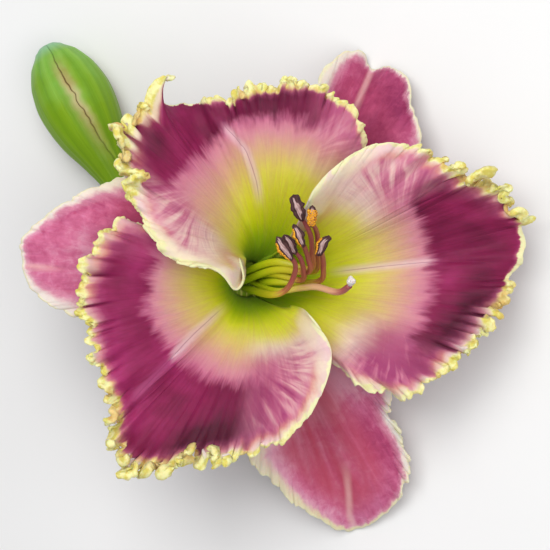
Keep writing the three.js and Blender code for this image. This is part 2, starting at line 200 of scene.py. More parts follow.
def add_shell(name, outer, inner, marks, material, node):
    """A closed shell between two grids. A mark is one field for both sides, or one for each."""
    rows, cols = outer.shape[:2]
    points = np.concatenate([outer.reshape(-1, 3), inner.reshape(-1, 3)])
    doubled = {}
    for key, mark in marks.items():
        sides = mark if isinstance(mark, tuple) else (mark, mark)
        doubled[key] = np.concatenate([side.reshape(rows * cols, -1) for side in sides])
    add_piece(name, points, sheet_faces(rows, cols), doubled, material, node)


def add_sheet(name, middle, half, marks, material, node):
    """A thin closed blade: its middle grid moved half a thickness to either side."""
    lift = grid_normals(middle) * half[..., None]
    marks = {**marks, "back": (np.zeros(half.shape), np.ones(half.shape))}
    add_shell(name, middle + lift, middle - lift, marks, material, node)


def tube_faces(rings, sides):
    """Quads of a closed bar of rings, with a fan onto a point at either end."""
    at = np.arange(rings * sides).reshape(rings, sides)
    turned = np.roll(at, -1, axis=1)
    walls = np.stack([at[:-1], turned[:-1], turned[1:], at[1:]], -1).reshape(-1, 4)
    foot, tip = rings * sides, rings * sides + 1
    foot_fan = np.stack([turned[0], at[0], np.full(sides, foot), np.full(sides, foot)], -1)
    tip_fan = np.stack([at[-1], turned[-1], np.full(sides, tip), np.full(sides, tip)], -1)
    return np.concatenate([walls, foot_fan, tip_fan])


def way_through(points, count):
    """Points on a smooth line through the given ones, evenly spaced by length."""
    points = np.asarray(points, float)
    ends = np.concatenate([2 * points[:1] - points[1:2], points, 2 * points[-1:] - points[-2:-1]])
    share = np.linspace(0, len(points) - 1 - 1e-9, 60 * len(points))
    k = share.astype(int)
    line = between(*neighbours(ends, k + 1), (share - k)[:, None])
    length = running_length(line)
    places = np.linspace(0, length[-1], count)
    return np.stack([np.interp(places, length, line[:, axis]) for axis in range(3)], -1)


def bar_uv(share, angle):
    """The map of a closed bar: round it and along it, with the middles of its two ends."""
    return np.concatenate([grid_uv(angle / (2 * np.pi), share).reshape(-1, 2), [[0.5, 0], [0.5, 1]]])


def add_bar(name, points, radii, rings, sides, material, node, slot, read=by_stations, first=None,
            relief=None, flat=1.0, **marks):
    """A closed bar of rings carried along a smooth line, their tops turned towards a first direction.

    The radius at each share of the length is read off stations and raised by relief(share, angle), and each
    ring is flattened upwards. Each mark is a function of the same share and angle.
    """
    line = way_through(points, rings)
    first = UPRIGHT if first is None else first
    along = unit(np.gradient(line, axis=0))
    rise = unit(first - along * np.sum(along * first, axis=1, keepdims=True))
    side = np.cross(rise, along)
    angle = np.linspace(0, 2 * np.pi, sides, endpoint=False)[None, :]
    share = np.linspace(0, 1, rings)[:, None]
    radius = read(share, radii) + (relief(share, angle) if relief else 0)
    radius = np.broadcast_to(radius, (rings, sides))[..., None]
    ring = line[:, None] + flat * radius * np.cos(angle)[..., None] * rise[:, None]
    ring = ring + radius * np.sin(angle)[..., None] * side[:, None]
    corners = np.concatenate([ring.reshape(-1, 3), line[:1], line[-1:]])
    values = {"uv": bar_uv(share, angle)}
    for key, value in marks.items():
        field = np.broadcast_to(value(share, angle), (rings, sides)).ravel()
        values[key] = np.concatenate([field, [field[0], field[-1]]])
    add_piece(name, corners, tube_faces(rings, sides), values, material, node)


def way_along(share, _angle):
    """A bar's mark that says how far along it a point lies."""
    return share


# ---- finishes ----
def linear(red, green, blue):
    """A screen colour, 0 to 255, as the linear colour that a shader takes."""
    shares = np.array([red, green, blue]) / 255
    low = shares / 12.92
    high = ((shares + 0.055) / 1.055) ** 2.4
    return (*np.where(shares <= 0.04045, low, high).tolist(), 1.0)


class Finish:
    """A material being wired up: most calls add one node and give its output."""

    def __init__(self, name, roughness=0.5, subsurface=0.0, reach=0.002, sheen=0.0, coat=0.0, specular=0.4):
        self.material = bpy.data.materials.new(name)
        self.material.use_nodes = True
        self.tree = self.material.node_tree
        self.shader = self.tree.nodes["Principled BSDF"]
        self.skin = None
        for socket, value in {
            "Roughness": roughness, "Specular IOR Level": specular, "Subsurface Weight": subsurface,
            "Subsurface Scale": reach, "Subsurface Radius": (1.0, 0.5, 0.4), "Sheen Weight": sheen,
            "Sheen Roughness": 0.5, "Coat Weight": coat, "Coat Roughness": 0.25,
        }.items():
            self.shader.inputs[socket].default_value = value

    def put(self, socket, value):
        """Links a node's output to a socket, or sets a plain value on it."""
        if isinstance(value, bpy.types.NodeSocket):
            self.tree.links.new(value, socket)
        else:
            socket.default_value = value

    def maths(self, operation, *values):
        """One sum of a node's outputs and plain numbers."""
        node = self.tree.nodes.new("ShaderNodeMath")
        node.operation = operation
        for socket, value in zip(node.inputs, values):
            self.put(socket, value)
        return node.outputs[0]

    def add(self, a, b):
        """The sum of two values."""
        return self.maths("ADD", a, b)

    def times(self, a, b):
        """The product of two values."""
        return self.maths("MULTIPLY", a, b)

    def stirred(self, value, *noises):
        """A value with noises added to it, each (noise, reach): noise about 0.5 becomes noise about 0."""
        for noise, reach in noises:
            value = self.add(value, self.maths("MULTIPLY_ADD", noise, 2 * reach, -reach))
        return value

    def step(self, value, low, high, to_low=0.0, to_high=1.0):
        """A soft step of a value from one level to another."""
        node = self.tree.nodes.new("ShaderNodeMapRange")
        node.interpolation_type = "SMOOTHSTEP"
        for socket, number in zip(node.inputs[:5], (value, low, high, to_low, to_high)):
            self.put(socket, number)
        return node.outputs[0]

    def fall(self, value, low, high, top=1.0):
        """A soft step down from a level to nothing."""
        return self.step(value, low, high, top, 0.0)

    def mark(self, name):
        """A field that the piece carries."""
        node = self.tree.nodes.new("ShaderNodeAttribute")
        node.attribute_name = name
        return node.outputs["Fac"]

    def noise_at(self, place, scale, detail, roughness, warp):
        """Cloudy noise at a place."""
        node = self.tree.nodes.new("ShaderNodeTexNoise")
        for socket, value in {
            "Vector": place, "Scale": scale, "Detail": detail, "Roughness": roughness, "Distortion": warp,
        }.items():
            self.put(node.inputs[socket], value)
        return node.outputs["Fac"]

    def noise_in(self, scale, detail=3.0, roughness=0.55, warp=0.0):
        """Noise through the piece's solid, so many cells to a metre."""
        return self.noise_at(self.place("Object", (1, 1, 1), 0.0), scale, detail, roughness, warp)

    def noise_on(self, across, along, detail=3.0, warp=0.0, shift=0.0):
        """Noise on the piece's own map, with so many cells to its first side and to its second."""
        return self.noise_at(self.place("UV", (across, along, 1), shift), 1.0, detail, 0.55, warp)

    def noise_over(self, x, y, detail, roughness, warp):
        """Noise over two values, one cell to each unit of them."""
        node = self.tree.nodes.new("ShaderNodeCombineXYZ")
        self.put(node.inputs[0], x)
        self.put(node.inputs[1], y)
        return self.noise_at(node.outputs[0], 1.0, detail, roughness, warp)

    def place(self, kind, stretch, shift):
        """The piece's own map, or the place in its solid, stretched by a scale for each axis and moved."""
        coordinates = self.tree.nodes.new("ShaderNodeTexCoord")
        mapping = self.tree.nodes.new("ShaderNodeMapping")
        mapping.inputs["Scale"].default_value = stretch
        mapping.inputs["Location"].default_value = (shift, shift, shift)
        self.put(mapping.inputs["Vector"], coordinates.outputs[kind])
        return mapping.outputs[0]

    def ramp(self, value, stops):
        """Colours along a value: stops are (place, (red, green, blue))."""
        node = self.tree.nodes.new("ShaderNodeValToRGB")
        elements = node.color_ramp.elements
        while len(elements) < len(stops):
            elements.new(0.5)
        for element, (place, colour) in zip(elements, stops):
            element.position = place
            element.color = linear(*colour)
        self.put(node.inputs[0], value)
        return node.outputs[0]

    def mix(self, share, a, b, blend="MIX"):
        """One colour turned into another by a share. A plain colour is (red, green, blue), 0 to 255."""
        node = self.tree.nodes.new("ShaderNodeMix")
        node.data_type = "RGBA"
        node.blend_type = blend
        self.put(node.inputs[0], share)
        for socket, value in zip((node.inputs[6], node.inputs[7]), (a, b)):
            self.put(socket, linear(*value) if isinstance(value, tuple) else value)
        return node.outputs[2]

    def lay(self, colour, share, other=None):
        """Lays a colour over the skin so far, by a share or by the product of two."""
        share = share if other is None else self.times(share, other)
        self.skin = self.mix(share, self.skin, colour)

    def lay_cells(self, low):
        """Puts the pinprick grain of living cells in the skin, each cell at least so bright."""
        cells = self.mix(self.noise_in(900, detail=2), (low, low, low), (255, 255, 255))
        self.skin = self.mix(0.5, self.skin, cells, "MULTIPLY")

    def finished(self, height=None, distance=0.0, strength=0.0):
        """The material, with its skin as the colour and relief whose light and shade follow a height."""
        self.put(self.shader.inputs["Base Color"], self.skin)
        if height is not None:
            node = self.tree.nodes.new("ShaderNodeBump")
            for socket, value in (("Strength", strength), ("Distance", distance), ("Height", height)):
                self.put(node.inputs[socket], value)
            self.put(self.shader.inputs["Normal"], node.outputs[0])
        return self.material


def petal_finish():
    """Green throat, yellow, peach and pink, a feathered burgundy eye, pale lobes, a gold frilled edge;
    painted light on the frill's crests, painted shade in its valleys, in parts of the eye and along the fan's
    sides in the throat.
    """
    made = Finish("petal flesh", roughness=0.6, subsurface=0.3, reach=0.003, sheen=0.03, specular=0.18)
    fine = made.noise_on(120, 9, warp=0.4)
    broad = made.noise_on(26, 6, detail=2, shift=3, warp=0.5)
    edge, beside, crest_light_and_shade = made.mark("edge"), made.mark("beside"), made.mark("crest_light_and_shade")
    branched = made.noise_over(made.times(beside, 0.3), made.times(edge, 0.08), 2, 0.5, 0.7)
    off_vein = made.maths("MULTIPLY_ADD", made.noise_on(60, 2, detail=2, shift=5), 2, -1)
    veins = made.fall(made.maths("ABSOLUTE", off_vein), 0.0, 0.1)
    cloud = made.noise_in(70)
    patches = made.noise_in(34, detail=2, warp=0.6)
    speckle = made.noise_in(420, detail=2)
    reach, rimmed, rib_share = made.mark("pale_reach"), made.mark("rimmed"), made.mark("rib_share")
    # From the throat outwards.
    zone = made.stirred(made.mark("zone"), (broad, 0.06), (fine, 0.03))
    made.skin = made.ramp(made.times(zone, 0.5), [
        (0.0, (124, 160, 4)), (0.08, (148, 176, 4)), (0.15, (184, 198, 14)), (0.22, (210, 212, 46)),
        (0.28, (214, 204, 86)), (0.335, (210, 184, 112)), (0.39, (206, 162, 134)),
        (0.445, (202, 138, 146)), (0.49, (190, 108, 138)),
    ])
    # Pink lobes with darker branching streaks and soft paler patches.
    fading = made.step(edge, 7, 20, 1.0, 0.2)
    wrinkled = made.add(made.times(made.maths("SUBTRACT", branched, 0.5), fading), 0.5)
    streak = made.add(made.times(fine, 0.12), made.times(wrinkled, 0.88))
    streak = made.add(made.stirred(streak, (patches, 0.1)), made.mark("flush"))
    pink = made.ramp(streak, [
        (0.3, (222, 184, 178)), (0.43, (208, 150, 158)), (0.53, (186, 106, 134)), (0.66, (154, 62, 106)),
    ])
    made.lay(made.mix(made.fall(zone, 0.58, 0.86, 0.9), pink, (232, 214, 196)), made.mark("lobe"))
    off_rib = made.maths("ABSOLUTE", made.mark("rib"))
    pale_rib = made.times(made.fall(off_rib, 0.2, 2.4), rib_share)
    made.lay((226, 196, 200), pale_rib, 0.6)
    made.lay((170, 84, 118), veins, 0.12)
    # The burgundy eye, its inner edge drawn out along the veins.
    inside = made.stirred(made.mark("eye"), (fine, 2.8), (broad, 4.0), (patches, 4.0))
    # The burgundy's depth is partly its own and partly painted shade, as on the lower petal under the upper
    # petal's lobe.
    depth = made.stirred(made.mark("depth_and_shade"), (broad, 0.08), (cloud, 0.34), (patches, 0.36), (fine, 0.06))
    # Painted shade: the burgundy deepens in the frill's valleys.
    depth = made.add(made.add(depth, made.times(crest_light_and_shade, -0.1)), made.times(veins, 0.05))
    burgundy = made.ramp(depth, [
        (0.0, (180, 62, 128)), (0.3, (154, 40, 96)), (0.6, (124, 24, 70)), (1.0, (74, 14, 40)),
    ])
    burgundy = made.mix(made.times(pale_rib, 0.4), burgundy, (186, 90, 140))
    made.lay(burgundy, made.step(inside, -2.6, 2.6), made.mark("eye_share"))
    made.lay((120, 40, 80), made.times(made.fall(off_rib, 0.0, 0.3), rib_share), 0.45)
    # Towards the edge: peach, then pale pink, then cream or gold. All reach further in on the crests, which
    # is painted light, and the gold turns tan in the valleys, which is painted shade.
    ragged = made.stirred(edge, (fine, 0.9), (speckle, 0.7), (broad, 1.2))
    near_pale = made.add(made.maths("DIVIDE", ragged, reach), made.times(crest_light_and_shade, -0.7))
    narrow = made.times(made.step(reach, 3.5, 7.0, 1.0, 0.1), rimmed)
    made.lay((186, 92, 132), made.fall(near_pale, 0.7, 1.9, 0.5), narrow)
    peach = made.mix(made.step(broad, 0.4, 0.6), (210, 144, 118), (206, 138, 150))
    made.lay(peach, made.fall(near_pale, 0.5, 1.4, 0.8), narrow)
    pale = made.mix(made.step(cloud, 0.42, 0.68), (234, 218, 186), (226, 198, 196))
    made.lay(pale, made.times(made.fall(near_pale, 0.25, 1.0, 0.95), made.mark("white")), rimmed)
    gold_edge = made.stirred(made.add(ragged, made.times(crest_light_and_shade, -1.1)), (cloud, 2.2))
    near_gold = made.maths("DIVIDE", gold_edge, made.mark("gold_reach"))
    spotted = made.step(speckle, 0.35, 0.65)
    lemon = made.mix(spotted, (214, 200, 96), (240, 234, 168))
    tan = made.mix(spotted, (206, 168, 100), (226, 196, 128))
    # The gold in painted light on the crests and in painted shade, tan, in the valleys.
    lit_and_shaded_gold = made.mix(made.step(made.stirred(crest_light_and_shade, (cloud, 2.2)), -1.2, 0.3), tan, lemon)
    rim = made.mix(made.mark("frill"), (230, 224, 176), lit_and_shaded_gold)
    made.lay(rim, made.fall(near_gold, 0.5, 1.0), rimmed)
    # The reverse is paler, and almost white behind the frill's gold lip.
    reverse = made.mix(made.fall(edge, 2.5, 7.0), (200, 140, 158), (226, 200, 196))
    reverse = made.mix(made.fall(ragged, 0.7, 1.6), reverse, rim)
    reverse = made.mix(made.fall(made.mark("zone"), 0.2, 0.6), reverse, (166, 178, 60))
    made.lay(reverse, made.mark("back"), 0.9)
    # Painted shade: a deeper green along the fan's two side edges in the throat, where a petal lies against
    # the next.
    made.lay((104, 138, 6), made.fall(made.mark("zone"), 0.3, 0.6, 0.7), made.mark("side"))
    made.lay_cells(236)
    relief = made.add(made.times(fine, 0.22), made.times(branched, 0.36))
    return made.finished(made.add(relief, made.times(speckle, 0.4)), 0.0006, 0.4)


def sepal_finish():
    """Mauve-rose with fine veins and soft mottling, a pale midrib and a cream margin of uneven width; the
    rose's depth is partly painted shade and painted light.
    """
    made = Finish("sepal flesh", roughness=0.6, subsurface=0.3, reach=0.0025, sheen=0.03, specular=0.18)
    fine = made.noise_on(150, 6, detail=4, warp=0.3)
    broad = made.noise_on(20, 3, detail=2, shift=5, warp=0.6)
    broken = made.noise_on(40, 14, detail=4, shift=9, warp=0.8)
    cloud = made.noise_in(60, detail=4, warp=0.4)
    mottle = made.noise_in(330, detail=4, warp=0.5, roughness=0.65)
    edge, warm = made.mark("edge"), made.mark("warm")
    # The rose's depth: partly its own, partly painted shade and painted light.
    depth = made.stirred(made.mark("depth_and_shade"), (fine, 0.07), (broad, 0.1), (broken, 0.16))
    made.skin = made.ramp(made.stirred(depth, (mottle, 0.34), (cloud, 0.4)), [
        (0.0, (224, 166, 186)), (0.35, (202, 110, 146)), (0.65, (174, 72, 112)), (1.0, (136, 42, 84)),
    ])
    warmed = made.times(warm, made.step(edge, 3, 11))
    made.lay((182, 70, 92), warmed, made.step(broad, 0.2, 0.6, 0.45, 0.85))
    off_rib = made.maths("ABSOLUTE", made.stirred(made.mark("rib"), (broad, 0.8)))
    made.lay((228, 184, 176), made.times(made.fall(off_rib, 0.1, 1.9), made.mark("rib_share")), 0.55)
    made.lay((196, 190, 88), made.fall(made.stirred(made.mark("zone"), (fine, 0.1)), 0.25, 0.75))
    ragged = made.stirred(edge, (fine, 0.3), (mottle, 1.2), (broken, 0.8), (broad, 0.8))
    near = made.maths("DIVIDE", ragged, made.mark("pale_reach"))
    made.lay((226, 176, 190), made.fall(near, 0.6, 2.1, 0.45))
    cream = made.mix(made.times(warm, 0.8), (230, 218, 208), (228, 216, 162))
    made.lay(cream, made.fall(near, 0.3, 1.05, 0.95))
    made.lay((230, 222, 184), made.fall(edge, 0.25, 0.9, 0.9))
    reverse = made.mix(made.fall(edge, 1.0, 4.0), (190, 128, 142), (224, 212, 176))
    reverse = made.mix(made.fall(made.mark("zone"), 0.3, 0.8), reverse, (170, 176, 84))
    made.lay(reverse, made.mark("back"), 0.8)
    made.lay_cells(232)
    return made.finished(made.add(made.times(fine, 0.3), made.times(mottle, 0.6)), 0.0006, 0.4)


def stem_finish():
    """Mid green with fine paler streaks along it, paler still at the cut end."""
    made = Finish("stem skin", roughness=0.42, subsurface=0.05, reach=0.001, specular=0.45)
    streak = made.noise_on(60, 3, detail=4)
    patch = made.noise_in(60, detail=2)
    made.skin = made.ramp(made.add(made.times(streak, 0.7), made.times(patch, 0.3)), [
        (0.3, (84, 118, 34)), (0.5, (112, 148, 50)), (0.7, (146, 176, 76)),
    ])
    made.lay((206, 214, 150), made.mark("cut"))
    return made.finished(streak, 0.0005, 0.5)


def bud_finish():
    """Waxy green in soft lengthwise bands, bluer at the tip, deeper low down, brown-pink by the seam."""
    made = Finish("bud skin", roughness=0.45, subsurface=0.12, coat=0.03, specular=0.24)
    fine = made.noise_on(60, 1.6)
    broad = made.noise_on(9, 0.6, detail=1, shift=7)
    cloud = made.noise_in(90)
    bands = made.add(made.times(fine, 0.35), made.times(broad, 0.65))
    made.skin = made.ramp(bands, [(0.3, (100, 140, 4)), (0.5, (112, 150, 6)), (0.7, (128, 162, 12))])
    high = made.ramp(bands, [(0.3, (108, 160, 58)), (0.5, (122, 172, 66)), (0.7, (136, 182, 80))])
    made.lay(high, made.step(made.stirred(made.mark("height"), (cloud, 0.3)), 0.52, 1.0))
    made.lay((140, 186, 152), made.mark("nub"), 0.8)
    seam, blush = made.mark("seam"), made.mark("blush")
    brown_pink = made.ramp(cloud, [(0.35, (148, 132, 60)), (0.65, (186, 172, 122))])
    made.lay(brown_pink, made.fall(made.stirred(seam, (fine, 1.0), (cloud, 1.6)), 0.2, 3.6, 0.95), blush)
    made.lay((122, 92, 56), made.fall(made.stirred(seam, (cloud, 0.4)), 0.08, 0.3, 0.6), blush)
    return made.finished(bands, 0.0006, 0.3)


def core_finish():
    """Furled petals, a brownish pink with fine streaks along them."""
    made = Finish("furled petal")
    streak = made.noise_on(50, 3)
    made.skin = made.ramp(streak, [(0.35, (112, 82, 44)), (0.65, (178, 132, 92))])
    return made.finished(streak, 0.0004, 0.4)


def along_finish(name, streaks, run, uneven, stops, distance, **skin):
    """A skin whose colour changes along the piece, with faint lengthwise streaks in colour and relief."""
    made = Finish(name, **skin)
    streak = made.noise_on(streaks, run)
    made.skin = made.ramp(made.stirred(made.mark("zone"), (streak, uneven)), stops)
    return made.finished(streak, distance, 0.5)


def tube_finish():
    """Yellow-green with lengthwise streaks, greener at the ovary."""
    return along_finish("tube skin", 48, 2, 0.2, [
        (0.1, (104, 138, 44)), (0.35, (150, 166, 62)), (0.7, (184, 186, 84)), (0.97, (196, 192, 100)),
        (1.0, (118, 146, 12)),
    ], 0.0006, roughness=0.45, subsurface=0.08, reach=0.0015, specular=0.4)


def filament_finish():
    """Yellow-green at the foot, dusky red further up."""
    return along_finish("filament", 14, 5, 0.12, [
        (0.0, (138, 166, 6)), (0.3, (176, 190, 20)), (0.5, (190, 178, 36)), (0.6, (176, 112, 66)),
        (0.74, (160, 76, 74)), (1.0, (150, 68, 70)),
    ], 0.0003, roughness=0.4, subsurface=0.1, reach=0.001, specular=0.45)


def style_finish():
    """Yellow-green, then cream, then a pink-brown end."""
    return along_finish("style", 10, 5, 0.08, [
        (0.0, (148, 172, 8)), (0.4, (180, 190, 24)), (0.55, (206, 184, 84)), (0.68, (216, 178, 128)),
        (0.84, (210, 158, 122)), (0.94, (168, 92, 88)), (1.0, (150, 78, 80)),
    ], 0.0003, roughness=0.4, subsurface=0.15, reach=0.0015, specular=0.45)


def anther_finish():
    """A pale pinkish-grey channel, purple-brown rims and orange pollen where the sacs have opened."""
    made = Finish("anther", roughness=0.7, subsurface=0.03, reach=0.0008, specular=0.3)
    grain = made.noise_in(2600)
    streak = made.noise_on(20, 3)
    made.skin = made.ramp(streak, [(0.3, (132, 96, 92)), (0.5, (176, 142, 138)), (0.7, (214, 192, 186))])
    dark = made.ramp(streak, [(0.35, (38, 18, 22)), (0.65, (84, 48, 46))])
    orange = made.ramp(grain, [(0.35, (158, 88, 4)), (0.5, (216, 140, 10)), (0.66, (242, 190, 52))])
    made.lay(dark, made.step(made.stirred(made.mark("rim"), (streak, 0.4)), 0.3, 0.7))
    made.lay(orange, made.step(made.stirred(made.mark("pollen"), (grain, 0.4)), 0.42, 0.6))
    return made.finished(grain, 0.0003, 0.7)


def stigma_finish():
    """White and felted."""
    made = Finish("stigma", roughness=0.85, subsurface=0.2, reach=0.0008, sheen=0.4, specular=0.2)
    felt = made.noise_in(3200)
    made.skin = made.ramp(felt, [(0.35, (196, 178, 164)), (0.6, (240, 234, 226))])
    return made.finished(felt, 0.0003, 0.8)


def floor_finish():
    """A plain pale surface with the faintest mottle."""
    made = Finish("pale floor", roughness=0.8, specular=0.2)
    mottle = made.noise_in(6, detail=2)
    made.skin = made.ramp(mottle, [(0.3, (226, 225, 222)), (0.7, (231, 230, 228))])
    return made.finished()


# ---- tepals ----
PETAL_ROWS, PETAL_COLS = 1000, 45
SEPAL_ROWS, SEPAL_COLS = 420, 40
MARGIN_STEPS = 2001
ROW_STEPS = 9001
BEAD = 0.34  # the least radius of the edge's bead
PETAL_BODY, SEPAL_BODY = 0.3, 0.32  # half the thickness behind it

# A tepal is a fan of lines from an arc on the tube's rim out to its margin. Each line is a cubic curve that
# rises along the bloom's axis, spreads as the throat widens, arches over and ends on the margin.
# A margin station is [x, y, z, reach, arch]: reach says how far out the arch's handle lies, and arch how far
# it stands above the margin.

# An octave of the frill: its length, how far it stands off, is drawn out and is pulled sideways, its depth
# and its salt, then its strength as a level and a slope along the coarse share.
CRIMPS = (
    (7.8, 1.9, 1.4, 0.7, 6.2, 1, 0, 1),
    (4.1, 1.1, 1.0, 0.32, 6.4, 2, 1.25, -0.25),
    (1.9, 0.4, 0.5, 0.25, 2.0, 3, 1, 0),
)
PETAL = dict(
    keel=1, tuck=2.4, pleat=0.8, rim=(6.4, 5.2), throat=(12, 10.2), rise=17, waves=17, height=2.3,
    start=0.74, power=1.5, scallop=0.7, slant=0,
)
SEPAL = dict(
    spread=38, calm=(0.05, 0.05), frilled=(0.02, 0.98), keel=0.4, lift=0, tuck=0, pleat=0.4, rim=(7.8, 7.8),
    throat=(14.5, 14.5), rise=13, waves=6, height=0.6, start=0.66, power=1.6, scallop=0.2,
    coarse=[0, 1], fold=[0, 1], spurs=(),
)
